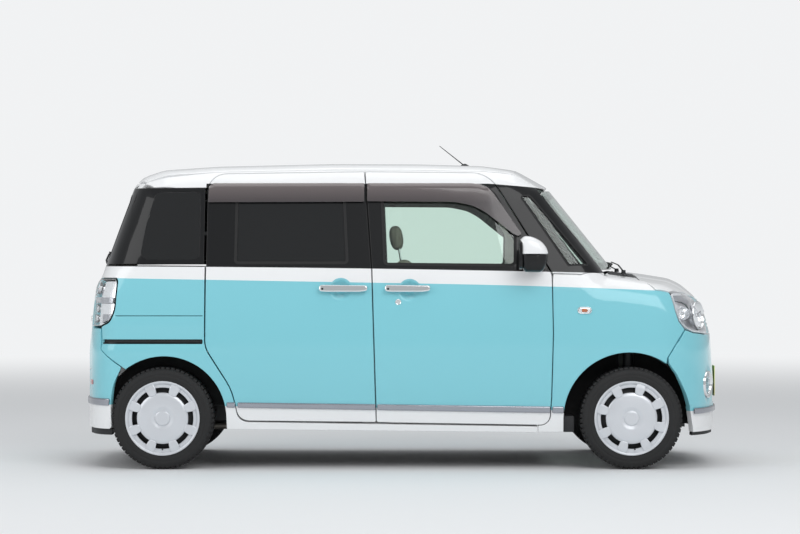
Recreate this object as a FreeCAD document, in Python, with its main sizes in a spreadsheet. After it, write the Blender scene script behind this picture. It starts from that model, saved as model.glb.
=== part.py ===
import FreeCAD, Part
import Sketcher
import os
from types import SimpleNamespace
from FreeCAD import Placement, Rotation, Vector

# Kei car: a tall two-box wagon with hinged front doors and sliding rear doors.
# +X is forward, +Y is the car's left, +Z is up; the origin is on the ground
# under the middle of the car. All lengths are millimetres, angles degrees.

doc = FreeCAD.newDocument("kei_car")
sheet = doc.addObject("Spreadsheet::Sheet", "Sizes")

# alias, value
SIZES = [
    # body shape
    ("body_length", 3395),
    ("body_width", 1475),
    ("roof_top", 1630),
    ("roof_crown", 5500),
    ("sill_base", 205),
    ("belt_height", 1050),
    ("belt_half", 700),
    ("rail_half", 590),
    ("rail_height", 1500),
    ("cowl_reach", 542),
    ("cowl_height", 1041),
    ("screen_top_reach", 904),
    ("screen_top_height", 1490),
    ("screen_radius", 2700),
    ("hatch_top_reach", 242),
    ("hatch_top_height", 1502),
    # walls and gaps
    ("wall", 45),
    ("frame_wall", 90),
    ("panel_gap", 6),
    ("door_skin", 14),
    ("door_lap", 15),
    ("glass_depth", 8),
    ("glass_thickness", 5),
    ("seat_gap", 0.3),
    ("roof_seam", 520),
    # stations of the side openings
    ("front_door_setback", 414),
    ("front_door_length", 931),
    ("slide_door_setback", 221),
    # wheels
    ("front_overhang", 502.5),
    ("wheelbase", 2455),
    ("track", 1300),
    ("tyre_radius", 268),
    ("tyre_width", 155),
    ("rim_radius", 192),
    ("rim_barrel", 166),
    ("tread_shoulder", 12),
    ("cover_depth", 26),
    ("slot_count", 8),
    ("slot_circle", 146),
    ("slot_length", 74),
    ("slot_width", 26),
    ("pad_radius", 27),
    ("pad_height", 8),
    ("pad_step", 14),
    ("cover_lip", 8),
    ("face_inset", 6),
    ("disc_thickness", 12),
    ("stub_inset", 120),
    ("arm_inset", 165),
    ("dome_radius", 120),
    ("hub_radius", 48),
    ("bearing_radius", 26),
    ("front_arch_radius", 345),
    ("rear_arch_radius", 325),
    ("liner_thickness", 5),
    # chassis
    ("kingpin_half", 585),
    ("kingpin_length", 200),
    ("kingpin_radius", 17),
    ("strut_half", 500),
    ("strut_radius", 27),
    ("strut_top", 800),
    ("floor_height", 322),
    ("floor_thickness", 40),
    ("floor_half", 643),
    ("beam_radius", 28),
    ("engine_length", 330),
    ("engine_width", 620),
    ("engine_height", 430),
    # outer pieces
    ("plate_bolt_spacing", 210),
    ("plate_bolt_hole", 6.6),
    ("antenna_radius", 3),
    ("antenna_length", 185),
    ("mirror_reach", 870),
]
for row, (alias, value) in enumerate(SIZES, start=1):
    sheet.set(f"A{row}", alias)
    sheet.set(f"B{row}", str(value))
    sheet.setAlias(f"B{row}", alias)
doc.recompute()
size = SimpleNamespace(**{alias: float(sheet.get(alias)) for alias, value in SIZES})

RIGHT, LEFT = -1, 1
SIDES = (("right", RIGHT), ("left", LEFT))
nose = size.body_length / 2
tail = -size.body_length / 2
half_width = size.body_width / 2
front_axle = nose - size.front_overhang
rear_axle = front_axle - size.wheelbase
front_door_edge = front_axle - size.front_door_setback
slide_door_edge = rear_axle + size.slide_door_setback
pillar_gap = front_door_edge - size.front_door_length
wheel_centre = size.tyre_radius
FAR = 4000.0
MELD = 0.001


# ---- outlines, prisms and panels -------------------------------------------------

def side_view(x, z):
    return Vector(x, 0, z)


def plan_view(x, y):
    return Vector(x, y, 0)


def end_view(y, z):
    return Vector(0, y, z)


def outline(start, steps):
    """The corner points of a closed outline: a step of 2 numbers is a straight run to
    that point, a step of 4 numbers is an arc through the first pair to the second."""
    if tuple(steps[-1][-2:]) != tuple(start):
        steps = steps + [start]
    return [(None, start)] + [(step[:2] if len(step) == 4 else None, step[-2:]) for step in steps]


def bend(flat, other, along):
    """The middle of the arc that leaves one point along axis 0 or 1 and ends at another."""
    a = other[along] - flat[along]
    b = other[1 - along] - flat[1 - along]
    radius = (a * a + b * b) / (2 * b)
    centre = [flat[0], flat[1]]
    centre[1 - along] += radius
    spokes = Vector(flat[0] + other[0] - 2 * centre[0], flat[1] + other[1] - 2 * centre[1], 0)
    middle = Vector(*centre, 0) + spokes.normalize() * abs(radius)
    return (middle.x, middle.y)


def arc_centre(near, through, far):
    return Part.Arc(Vector(*near, 0), Vector(*through, 0), Vector(*far, 0)).toShape().Curve.Center


def heading(near, through, far, at_start):
    """The unit direction of travel at one end of a straight run or an arc."""
    if through is None:
        along = Vector(far[0] - near[0], far[1] - near[1], 0)
        return along.normalize()
    spoke = Vector(*(near if at_start else far), 0) - arc_centre(near, through, far)
    along = Vector(-spoke.y, spoke.x, 0).normalize()
    travel = Vector(far[0] - near[0], far[1] - near[1], 0)
    return along if along.dot(travel) > 0 else along * -1


def grown(corners, distance):
    """The outline moved outwards by a distance, or inwards if it is negative."""
    points = [Vector(*corner[1], 0) for corner in corners]
    turn = sum(p.x * q.y - q.x * p.y for p, q in zip(points, points[1:]))
    outward = 1 if turn > 0 else -1
    runs = [(a[1], b[0], b[1]) for a, b in zip(corners, corners[1:])]
    moved = []
    for index, (near, through, far) in enumerate(runs):
        before = heading(*runs[index - 1], False)
        after = heading(near, through, far, True)
        normals = [Vector(d.y, -d.x, 0) * outward for d in (before, after)]
        shift = (normals[0] + normals[1]) * (distance / (1 + normals[0].dot(normals[1])))
        moved.append(Vector(*near, 0) + shift)
    result = [(None, (moved[0].x, moved[0].y))]
    for index, (near, through, far) in enumerate(runs):
        end = moved[(index + 1) % len(moved)]
        middle = None
        if through is not None:
            centre = arc_centre(near, through, far)
            spoke = Vector(*through, 0) - centre
            first = heading(near, through, far, True)
            side = Vector(first.y, -first.x, 0) * outward
            bulge = 1 if side.dot(Vector(*near, 0) - centre) > 0 else -1
            point = Vector(*through, 0) + spoke.normalize() * (distance * bulge)
            middle = (point.x, point.y)
        result.append((middle, (end.x, end.y)))
    return result


def wire(view, corners):
    edges = []
    for (skip, near), (through, far) in zip(corners, corners[1:]):
        if through is not None:
            edges.append(Part.Arc(view(*near), view(*through), view(*far)).toShape())
        elif abs(near[0] - far[0]) + abs(near[1] - far[1]) > 1e-6:
            edges.append(Part.LineSegment(view(*near), view(*far)).toShape())
    return Part.Wire(edges)


def side_prism(corners, y_low=-FAR, y_high=FAR):
    face = Part.Face(wire(side_view, corners))
    face.translate(Vector(0, y_low, 0))
    return face.extrude(Vector(0, y_high - y_low, 0))


def plan_prism(corners, z_low=-FAR, z_high=FAR):
    face = Part.Face(wire(plan_view, corners))
    face.translate(Vector(0, 0, z_low))
    return face.extrude(Vector(0, 0, z_high - z_low))


def end_prism(corners, x_low=-FAR, x_high=FAR):
    face = Part.Face(wire(end_view, corners))
    face.translate(Vector(x_low, 0, 0))
    return face.extrude(Vector(x_high - x_low, 0, 0))


def block(x_low, x_high, y_low, y_high, z_low, z_high):
    return Part.makeBox(x_high - x_low, y_high - y_low, z_high - z_low, Vector(x_low, y_low, z_low))


def on_side(side, inner=0.0, outer=FAR):
    """Everything between two distances from the middle plane, on one side."""
    low, high = sorted((side * inner, side * outer))
    return block(-FAR, FAR, low, high, -FAR, FAR)


def joined(shapes):
    first = shapes[0]
    if len(shapes) == 1:
        return first
    return first.fuse(shapes[1:]).removeSplitter()


# ---- the closed outer form of the body --------------------------------------------

profile = outline((tail, 100), [
    (tail, 640),
    (tail + 8, 719),
    (tail + 26, 904),
    (tail + 38, 985),
    (tail + 58, 1012),
    (tail + 84, 1071),
    (tail + size.hatch_top_reach, size.hatch_top_height),
    (tail + 290, 1556, tail + 400, 1592),
    (-380, size.roof_top, nose - 1267, size.roof_top - 16),
    (nose - 1057, (size.roof_top + size.screen_top_height) / 2 + 23,
     nose - size.screen_top_reach, size.screen_top_height),
    (nose - size.cowl_reach, size.cowl_height),
    (nose - 387, 1020),
    (nose - 240, 998),
    (nose - 178, 965),
    (nose - 98, 902),
    (nose - 46, 806, nose - 17, 690),
    (nose - 8, 560),
    (nose, 420),
    (nose, 100),
])
waist = (half_width, 620)
shoulder = (size.belt_half, size.belt_height)
skirt = (half_width - 72, 70)
rail = (size.rail_half, size.rail_height)
rail_bend = (size.rail_half - 30, size.rail_height + 64)
gutter = (size.rail_half - 90, size.rail_height + 108)
lower_bend = bend(waist, skirt, 1)
upper_bend = bend(waist, shoulder, 1)


def flipped(point):
    return (-point[0], point[1])


section = outline(flipped(skirt), [
    flipped(lower_bend) + flipped(waist),
    flipped(upper_bend) + flipped(shoulder),
    flipped(rail),
    flipped(rail_bend) + flipped(gutter),
    (0, size.roof_top + 60),
    gutter,
    rail_bend + rail,
    shoulder,
    upper_bend + waist,
    lower_bend + skirt,
])

tail_corner = (tail + 38, 620)
tail_side = (tail + 200, half_width + 4)
nose_corner = (nose - 76, 560)
nose_side = (nose - 400, half_width + 4)
tail_bend = bend(tail_side, tail_corner, 0)
nose_bend = bend(nose_side, nose_corner, 0)


def rightward(point):
    return (point[0], -point[1])


footprint = outline(rightward(tail_corner), [
    rightward(tail_bend) + rightward(tail_side),
    rightward(nose_side),
    rightward(nose_bend) + rightward(nose_corner),
    (nose + 5, 0) + nose_corner,
    nose_bend + nose_side,
    tail_side,
    tail_bend + tail_corner,
    (tail - 5, 0) + rightward(tail_corner),
])

# The windscreen lies on a large cylinder that leans back with the glass.
screen_foot = Vector(nose - size.cowl_reach, 0, size.cowl_height)
screen_head = Vector(nose - size.screen_top_reach, 0, size.screen_top_height)
screen_line = (screen_head - screen_foot).normalize()
screen_normal = Vector(screen_line.z, 0, -screen_line.x)
above_cowl = side_prism(outline((nose - size.screen_top_reach - 160, 1700), [
    (nose, 1700),
    (nose, size.cowl_height - 14),
    (nose - size.cowl_reach - 130, size.cowl_height - 14),
    (nose - size.screen_top_reach - 160, size.screen_top_height + 40),
]))


def hull(inset):
    """The body's closed form with every face moved inwards by a distance."""
    swing = 12
    face = Part.Face(wire(side_view, grown(profile, -inset)))
    face.rotate(Vector(0, 0, -size.roof_crown), Vector(1, 0, 0), -swing)
    turned = face.revolve(Vector(0, 0, -size.roof_crown), Vector(1, 0, 0), 2 * swing)
    solid = end_prism(grown(section, -inset)).common(plan_prism(grown(footprint, -inset)), MELD)
    solid = solid.common(turned, MELD)
    radius = size.screen_radius - inset
    base = screen_foot - screen_normal * size.screen_radius - screen_line * 1500
    cylinder = Part.makeCylinder(radius, 4000, base, screen_line)
    return solid.cut(above_cowl.cut(cylinder), MELD)


hulls = {}


def layer(outer, inner):
    """The part of the body's wall between two depths below the outer face."""
    for depth in (outer, inner):
        if depth not in hulls:
            hulls[depth] = hull(depth)
    return hulls[outer].cut(hulls[inner], MELD)


# ---- registering the pieces -------------------------------------------------------

pieces = []


def keep(item, label):
    item.Label = label
    pieces.append(item)
    return item


def panel(label, shape):
    """A piece cut from the body's wall or from the glass line, which no primitive makes."""
    feature = doc.addObject("Part::Feature", label)
    feature.Shape = shape
    return keep(feature, label)


def mirrored(shape):
    return shape.mirror(Vector(0, 0, 0), Vector(0, 1, 0))


def both_sides(label, shape):
    """The piece on the right side and its mirror image on the left."""
    panel(label + "_right", shape)
    panel(label + "_left", mirrored(shape))


# ---- side openings ----------------------------------------------------------------

gap = size.panel_gap / 2
door_top = size.rail_height + 68
pillar_top = (pillar_gap - 54, door_top)
pillar_belt = (pillar_gap - 15, 1044)
pillar_foot = (pillar_gap + 9, 244)

front_door_line = outline(pillar_foot, [
    (front_door_edge - 75, 227),
    (front_door_edge - 25, 262, front_door_edge - 4, 380),
    (front_door_edge + 5, 713),
    (front_door_edge, 1027),
    (front_door_edge - 84, 1212),
    (nose - 1181, size.screen_top_height - 22),
    (nose - 1242, door_top - 38, nose - 1385, door_top - 6),
    pillar_top,
    pillar_belt,
])
slide_door_line = outline(pillar_foot, [
    pillar_belt,
    pillar_top,
    (slide_door_edge + 128, door_top - 10),
    (slide_door_edge + 34, door_top - 33, slide_door_edge, door_top - 88),
    (slide_door_edge, 650),
    (slide_door_edge + 60, 560, slide_door_edge + 125, 420),
    (slide_door_edge + 160, 310, slide_door_edge + 245, 250),
])
front_window_line = outline((pillar_gap + 50, 1072), [
    (front_door_edge - 191, 1066),
    (front_door_edge - 189, 1240),
    (front_door_edge - 281, 1405),
    (front_door_edge - 341, 1490, front_door_edge - 421, 1494),
    (pillar_gap + 32, 1500),
])
slide_window_line = outline((pillar_gap - 140, 1078), [
    (pillar_gap - 162, 1500),
    (slide_door_edge + 159, 1500),
    (slide_door_edge + 155, 1078),
])
quarter_window_line = outline((nose - 835, 1078), [
    (nose - 759, 1076),
    (nose - 1021, 1400),
    (nose - 1041, 1420, nose - 1067, 1418),
])
rear_glass_line = outline((slide_door_edge - 18, 1072), [
    (slide_door_edge - 18, 1496),
    (tail - 50, 1496),
    (tail - 50, 1072),
])
rear_window_line = outline((slide_door_edge - 56, 1096), [
    (slide_door_edge - 56, 1470),
    (tail + 377, 1470),
    (tail + 302, 1300, tail + 272, 1096),
])


def arch(axle, radius, spread):
    """The wheel arch in side view, round above the wheel and straight below it."""
    return outline((axle - radius - spread, 0), [
        (axle - radius, wheel_centre),
        (axle, wheel_centre + radius, axle + radius, wheel_centre),
        (axle + radius + spread, 0),
    ])


front_arch = side_prism(arch(front_axle - 10, size.front_arch_radius, 12))
rear_arch = side_prism(arch(rear_axle + 8, size.rear_arch_radius, 30))


# ---- doors ------------------------------------------------------------------------

wall = layer(0.0, size.wall)
right_wall = wall.common(on_side(RIGHT, 300))
skin_layer = layer(0.0, size.door_skin).common(on_side(RIGHT, 300))
inner_layer = layer(size.door_skin, size.wall).common(on_side(RIGHT, 300))
glass_layer = layer(size.glass_depth, size.glass_depth + size.glass_thickness)
right_glass = glass_layer.common(on_side(RIGHT, 300))


def door_panel(line, window):
    """An outer skin with a smaller inner frame behind it, and the window cut through."""
    skin = skin_layer.common(side_prism(grown(line, -gap), -FAR, 0))
    frame = inner_layer.common(side_prism(grown(line, -gap - size.door_lap), -FAR, 0))
    under_roof = block(-FAR, FAR, -size.roof_seam - size.panel_gap, 0, size.rail_height, FAR)
    return skin.fuse(frame).removeSplitter().cut([side_prism(window, -FAR, 0), under_roof])


def handle(x_rear, x_front, z_mid):
    """A bar grip on two feet that stand on the door skin."""
    skin = half_width - 20
    bar = Part.makeCylinder(11, x_front - x_rear, Vector(x_rear, -skin - 38, z_mid), Vector(1, 0, 0))
    feet = [
        Part.makeCylinder(9, 60, Vector(x, -skin - 38, z_mid), Vector(0, 1, 0))
        for x in (x_rear + 16, x_front - 16)
    ]
    return joined([bar] + feet).cut(hulls[0.0])


def pane(window):
    return right_glass.common(side_prism(grown(window, -size.seat_gap), -FAR, 0))


# What carries a door on the posts: two hinge leaves, or the sliding door's roller arms.
carrier_layer = layer(size.wall - 5, size.wall + size.panel_gap - size.seat_gap).common(on_side(RIGHT, 300))


def carriers(x_low, x_high, heights):
    return [carrier_layer.common(block(x_low, x_high, -FAR, 0, z, z + 50)) for z in heights]


front_door = [door_panel(front_door_line, front_window_line)]
front_door.append(handle(pillar_gap + 55, pillar_gap + 290, 942))
front_door += carriers(front_door_edge - 50, front_door_edge - 26, (400, 850))
both_sides("door_front", joined(front_door))
slide_door = [door_panel(slide_door_line, slide_window_line)]
slide_door.append(handle(pillar_gap - 290, pillar_gap - 37, 945))
slide_door += carriers(pillar_gap - 160, pillar_gap - 100, (262,))
slide_door += carriers(slide_door_edge + 270, slide_door_edge + 330, (262,))
both_sides("door_slide", joined(slide_door))
both_sides("door_glass_front", pane(front_window_line))

# ---- body side --------------------------------------------------------------------

front_opening = side_prism(grown(front_door_line, gap), -FAR, 0)
slide_opening = side_prism(grown(slide_door_line, gap), -FAR, 0)
roof_region = block(-FAR, FAR, -size.roof_seam, size.roof_seam, size.screen_top_height - 25, FAR)
roof_gap_region = block(
    -FAR, FAR, -size.roof_seam - gap, size.roof_seam + gap, size.screen_top_height - 25 - gap, FAR)

screen_line_front = outline((-655, 1052), [
    (0, 1046, 655, 1052),
    (582, size.screen_top_height - 20),
    (0, size.screen_top_height - 8, -582, size.screen_top_height - 20),
])
screen_opening = end_prism(screen_line_front, nose - 1097, FAR)

fender_line = outline((front_door_edge - 2, 150), [
    (front_door_edge - 2, 1036),
    (nose - 640, 1032),
    (nose - 440, 1008),
    (nose - 372, 940),
    (nose - 295, 929),
    (nose - 265, 820),
    (nose - 249, 774),
    (nose - 214, 732),
    (nose - 311, 580),
    (nose - 311, 150),
])
bonnet_edge = outline((nose - 700, 1400), [
    (nose - 700, 1010),
    (nose - 440, 1008),
    (nose - 372, 940),
    (nose - 295, 929),
    (nose - 192, 923),
    (nose - 157, 905),
    (nose + 100, 902),
    (nose + 100, 1400),
])
bonnet_plan = outline((nose - 440, -660), [
    (nose - 515, 0, nose - 440, 660),
    (nose - 372, 760),
    (nose + 100, 760),
    (nose + 100, -760),
    (nose - 372, -760),
])
lamp_line = outline((nose - 295, 927), [
    (nose - 265, 820),
    (nose - 249, 774),
    (nose - 214, 734),
    (nose - 169, 714),
    (nose + 50, 703),
    (nose + 50, 902),
    (nose - 157, 903),
    (nose - 192, 921),
])
front_bumper_line = outline((nose - 214, 732), [
    (nose - 311, 580),
    (nose - 370, 165),
    (nose + 50, 165),
    (nose + 50, 703),
    (nose - 169, 712),
])
rear_bumper_line = outline((tail + 110, 743), [
    (tail + 110, 625),
    (tail + 227, 531),
    (tail + 260, 256),
    (tail - 50, 256),
    (tail - 50, 743),
])
tail_lamp_line = outline((tail - 50, 753), [
    (tail + 150, 753),
    (tail + 190, 768, tail + 198, 810),
    (tail + 165, 1001),
    (tail - 50, 1001),
])
hatch_line = outline((-574, 520), [
    (574, 520),
    (574, 1010),
    (522, size.hatch_top_height + 2),
    (-522, size.hatch_top_height + 2),
    (-574, 1010),
])
hatch_window_line = outline((-520, 1085), [
    (520, 1085),
    (478, 1430),
    (-478, 1430),
])
lamp_inner = 430
hatch_region = end_prism(hatch_line, -FAR, tail + 320)
hatch_gap_region = end_prism(grown(hatch_line, size.panel_gap), -FAR, tail + 320)
ground_line = outline((-FAR, -FAR), [
    (FAR, -FAR),
    (FAR, 187),
    (nose - 907, size.sill_base - 14),
    (tail + 847, size.sill_base + 4),
    (-FAR, size.sill_base + 4),
])
below_sill = side_prism(ground_line)

# The rear quarter glass lies over the rear corner, flush with the body around it.
rear_glass_band = side_prism(grown(rear_glass_line, -size.seat_gap), -FAR, 0)
rear_glass_seat = layer(0.0, size.glass_thickness + size.seat_gap).common(
    side_prism(rear_glass_line, -FAR, 0)).common(on_side(RIGHT, 300))


def plate_holes(x, z):
    """Two bolt holes for a number plate."""
    radius = size.plate_bolt_hole / 2
    offset = size.plate_bolt_spacing / 2
    return Part.makeCompound([
        Part.makeCylinder(radius, 200, Vector(x - 100, y, z), Vector(1, 0, 0)) for y in (-offset, offset)
    ])


aperture = right_wall
for cutter in (
    below_sill,
    front_opening,
    slide_opening,
    front_arch,
    rear_arch,
    side_prism(quarter_window_line, -FAR, 0),
    side_prism(rear_window_line, -FAR, 0),
    rear_glass_seat,
    screen_opening,
    roof_gap_region,
    hatch_gap_region,
    side_prism(fender_line, -FAR, 0),
    side_prism(rear_bumper_line, -FAR, 0),
    side_prism(tail_lamp_line, -FAR, 0),
    block(front_door_edge, FAR, -FAR, FAR, -FAR, 1036 + gap),
    block(nose - 640, FAR, -FAR, FAR, -FAR, FAR),
    block(-FAR, rear_axle, -FAR, FAR, -FAR, 260),
):
    aperture = aperture.cut(cutter)

frame_layer = layer(0.0, size.frame_wall).common(on_side(RIGHT, size.roof_seam + gap))
post_layer = layer(size.wall + size.panel_gap, size.frame_wall).common(on_side(RIGHT, 400))
sill_beam = frame_layer.common(side_prism(outline((slide_door_edge + 139, 150), [
    (slide_door_edge + 139, 238),
    (front_door_edge - 80, 220),
    (front_door_edge - 3, 220),
    (front_door_edge - 3, 150),
]))).cut(below_sill).cut(rear_arch)
roof_rail = frame_layer.common(side_prism(outline((slide_door_edge - 261, door_top + gap), [
    (slide_door_edge - 261, FAR),
    (nose - 1257, FAR),
    (nose - 1257, door_top + gap),
])))
centre_pillar = post_layer.common(side_prism(outline((pillar_gap - 65, 200), [
    (pillar_gap + 75, 200),
    (pillar_gap + 58, 1044),
    (pillar_gap + 20, 1620),
    (pillar_gap - 130, 1620),
    (pillar_gap - 88, 1044),
])))
hinge_post = post_layer.common(side_prism(outline((front_door_edge - 60, 200), [
    (front_door_edge + 55, 200),
    (front_door_edge + 55, 1036),
    (front_door_edge - 60, 1060),
])))
inner_sill = post_layer.common(block(rear_axle + 8 + size.rear_arch_radius + 12, front_door_edge + 50,
                                     -FAR, 0, size.sill_base, size.floor_height))
body_side = joined([aperture, sill_beam, inner_sill, roof_rail, centre_pillar, hinge_post])
both_sides("body_side", body_side)

roof = wall.common(roof_region).cut(hatch_gap_region).cut(screen_opening)
panel("roof_panel", roof)

fender = right_wall.common(side_prism(grown(fender_line, -size.seat_gap), -FAR, 0))
fender = fender.cut(front_opening).cut(front_arch).cut(below_sill)
fender = fender.cut(side_prism(front_bumper_line)).cut(side_prism(lamp_line))
fender = fender.cut(block(-FAR, FAR, -640, 640, 900, FAR))
panel("front_fenders", Part.makeCompound([fender, mirrored(fender)]))

bonnet = wall.common(side_prism(grown(bonnet_edge, -size.panel_gap)))
bonnet = bonnet.common(plan_prism(grown(bonnet_plan, -gap)))
hinge_tabs = Part.makeCompound([
    block(nose - 530, nose - 470, y - 20, y + 20, 985, 1012) for y in (-320, 320)
])
bonnet = bonnet.fuse(wall.common(hinge_tabs).common(plan_prism(grown(bonnet_plan, gap - size.seat_gap))))
panel("bonnet", bonnet)

lamp_region = side_prism(grown(lamp_line, -size.seat_gap))
lamp = wall.common(lamp_region).common(on_side(RIGHT, lamp_inner))
panel("headlamps", Part.makeCompound([lamp, mirrored(lamp)]))
grille = wall.common(block(
    nose - 200, FAR, -lamp_inner + size.seat_gap, lamp_inner - size.seat_gap, 690, 902 - size.panel_gap))
grille = grille.cut(side_prism(front_bumper_line))
panel("grille_panel", grille)

front_bumper = wall.common(side_prism(grown(front_bumper_line, -size.seat_gap))).cut(front_arch)
air_intake = outline((-380, 330), [(380, 330), (380, 430), (-380, 430)])
front_bumper = front_bumper.cut(end_prism(air_intake, nose - 200, FAR))
front_bumper = front_bumper.cut(plate_holes(nose, 480))
panel("front_bumper", front_bumper)

rear_bumper = wall.common(side_prism(grown(rear_bumper_line, -size.seat_gap))).cut(rear_arch)
rear_bumper = rear_bumper.cut(hatch_gap_region)
panel("rear_bumper", rear_bumper)

tail_lamp = wall.common(side_prism(grown(tail_lamp_line, -size.seat_gap))).common(on_side(RIGHT, 577))
tail_lamp = tail_lamp.cut(hatch_gap_region)
panel("tail_lamps", Part.makeCompound([tail_lamp, mirrored(tail_lamp)]))

hatch_tabs = Part.makeCompound([
    block(tail + 230, tail + 300, y - 20, y + 20, 1490,
          size.hatch_top_height + 2 + size.panel_gap - size.seat_gap)
    for y in (-260, 260)
])
tailgate = wall.common(hatch_region).fuse(wall.common(hatch_tabs))
tailgate = tailgate.cut(end_prism(hatch_window_line, -FAR, tail + 320))
tailgate = tailgate.cut(plate_holes(tail, 600))
panel("tailgate", tailgate)
hatch_pane = end_prism(grown(hatch_window_line, -size.seat_gap), -FAR, tail + 320)
panel("tailgate_glass", glass_layer.common(hatch_pane))

cowl = wall.common(block(nose - 640, nose - 400, -655, 655, 985, 1040))
cowl = cowl.cut(plan_prism(grown(bonnet_plan, gap))).cut(screen_opening)
cowl = cowl.cut(side_prism(grown(fender_line, gap)))
panel("cowl_panel", cowl)

screen_pane = end_prism(grown(screen_line_front, -size.seat_gap), nose - 1097, FAR)
panel("windscreen", glass_layer.common(screen_pane))
quarter = right_glass.common(side_prism(grown(quarter_window_line, -size.seat_gap), -FAR, 0))
rear_pane = layer(0.0, size.glass_thickness).common(on_side(RIGHT, 300)).common(rear_glass_band)
rear_pane = rear_pane.cut(hatch_gap_region)
side_panes = [quarter, rear_pane, pane(slide_window_line)]
side_panes += [mirrored(shape) for shape in side_panes]
panel("side_glass", Part.makeCompound(side_panes))

# ---- pieces made from primitives and sketches --------------------------------------

def bind(item, **expressions):
    for name, expression in expressions.items():
        item.setExpression(name.replace("__", "."), expression)
    return item


def at(item, x, y, z, rotation=None):
    """Ties a piece's place to the sheet by three expressions."""
    if rotation is not None:
        item.Placement = Placement(Vector(), rotation)
    return bind(item, Placement__Base__x=x, Placement__Base__y=y, Placement__Base__z=z)


def box(name, length, width, height, x, y, z):
    item = doc.addObject("Part::Box", name)
    bind(item, Length=length, Width=width, Height=height)
    return at(item, x, y, z)


ALONG_Y = Rotation(Vector(1, 0, 0), -90)


def rod(name, radius, height, x, y, z, rotation=None):
    item = doc.addObject("Part::Cylinder", name)
    bind(item, Radius=radius, Height=height)
    return at(item, x, y, z, rotation)


def fused(label, items):
    item = doc.addObject("Part::MultiFuse", label)
    item.Shapes = items
    item.Refine = True
    return item


def polygon_sketch(body, role, name, corners):
    """A closed sketch on one of the body's planes; each corner's two distances from
    the origin are expressions. The sketch may then be set off from its plane."""
    sketch = body.newObject("Sketcher::SketchObject", name)
    plane = [item for item in body.Origin.OriginFeatures if item.Role == role][0]
    sketch.AttachmentSupport = (plane, [""])
    sketch.MapMode = "FlatFace"
    points = [Vector(sheet.evalExpression(a), sheet.evalExpression(b), 0) for a, b in corners]
    for index, point in enumerate(points):
        sketch.addGeometry(Part.LineSegment(point, points[(index + 1) % len(points)]), False)
    for index in range(len(points)):
        sketch.addConstraint(Sketcher.Constraint("Coincident", index, 2, (index + 1) % len(points), 1))
    for index, (across, up) in enumerate(corners):
        point = points[index]
        for kind, expression, value in (("DistanceX", across, point.x), ("DistanceY", up, point.y)):
            number = sketch.addConstraint(Sketcher.Constraint(kind, -1, 1, index, 1, value))
            sketch.setExpression(f"Constraints[{number}]", expression)
    return sketch


def turned_body(name, corners):
    """A body turned about the Y axis from its half section, drawn as (outward, radius)."""
    body = doc.addObject("PartDesign::Body", name)
    sketch = polygon_sketch(body, "YZ_Plane", name + "_section", corners)
    spin = body.newObject("PartDesign::Revolution", name + "_turned")
    spin.Profile = sketch
    spin.ReferenceAxis = (sketch, ["H_Axis"])
    spin.Angle = 360
    body.Tip = spin
    return body


def round_pattern(body, feature, sketch):
    """Repeats a feature round the sketch's own normal."""
    pattern = body.newObject("PartDesign::PolarPattern", feature.Name + "_round")
    pattern.Originals = [feature]
    pattern.Axis = (sketch, ["N_Axis"])
    pattern.Angle = 360
    pattern.setExpression("Occurrences", "Sizes.slot_count")
    body.Tip = pattern
    return pattern


def dressed_wheel(name):
    """A wheel with its cover: slots through the cover, and a raised pad between each pair."""
    body = turned_body(name, wheel_section)
    slot = polygon_sketch(body, "XZ_Plane", name + "_slot", slot_section)
    doc.recompute()
    pocket = body.newObject("PartDesign::Pocket", name + "_slots")
    pocket.Profile = slot
    pocket.Type = "ThroughAll"
    pocket.Midplane = True
    round_pattern(body, pocket, slot)
    doc.recompute()
    pad_sketch = polygon_sketch(body, "XZ_Plane", name + "_pad", pad_section)
    pad_sketch.setExpression("AttachmentOffset.Base.z", f"-({OUT} - Sizes.cover_depth)")
    pad = body.newObject("PartDesign::Pad", name + "_pads")
    pad.Profile = pad_sketch
    pad.Reversed = True
    pad.setExpression("Length", "Sizes.cover_depth + Sizes.pad_height - Sizes.pad_step")
    round_pattern(body, pad, pad_sketch)
    return body


NOSE = "Sizes.body_length / 2"
FRONT_AXLE = "(Sizes.body_length / 2 - Sizes.front_overhang)"
REAR_AXLE = "(Sizes.body_length / 2 - Sizes.front_overhang - Sizes.wheelbase)"
DOOR_EDGE = f"{FRONT_AXLE} - Sizes.front_door_setback"
CENTRE = "Sizes.tyre_radius"
AXLES = (("front", FRONT_AXLE), ("rear", REAR_AXLE))
OUT = "Sizes.tyre_width / 2"

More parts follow.
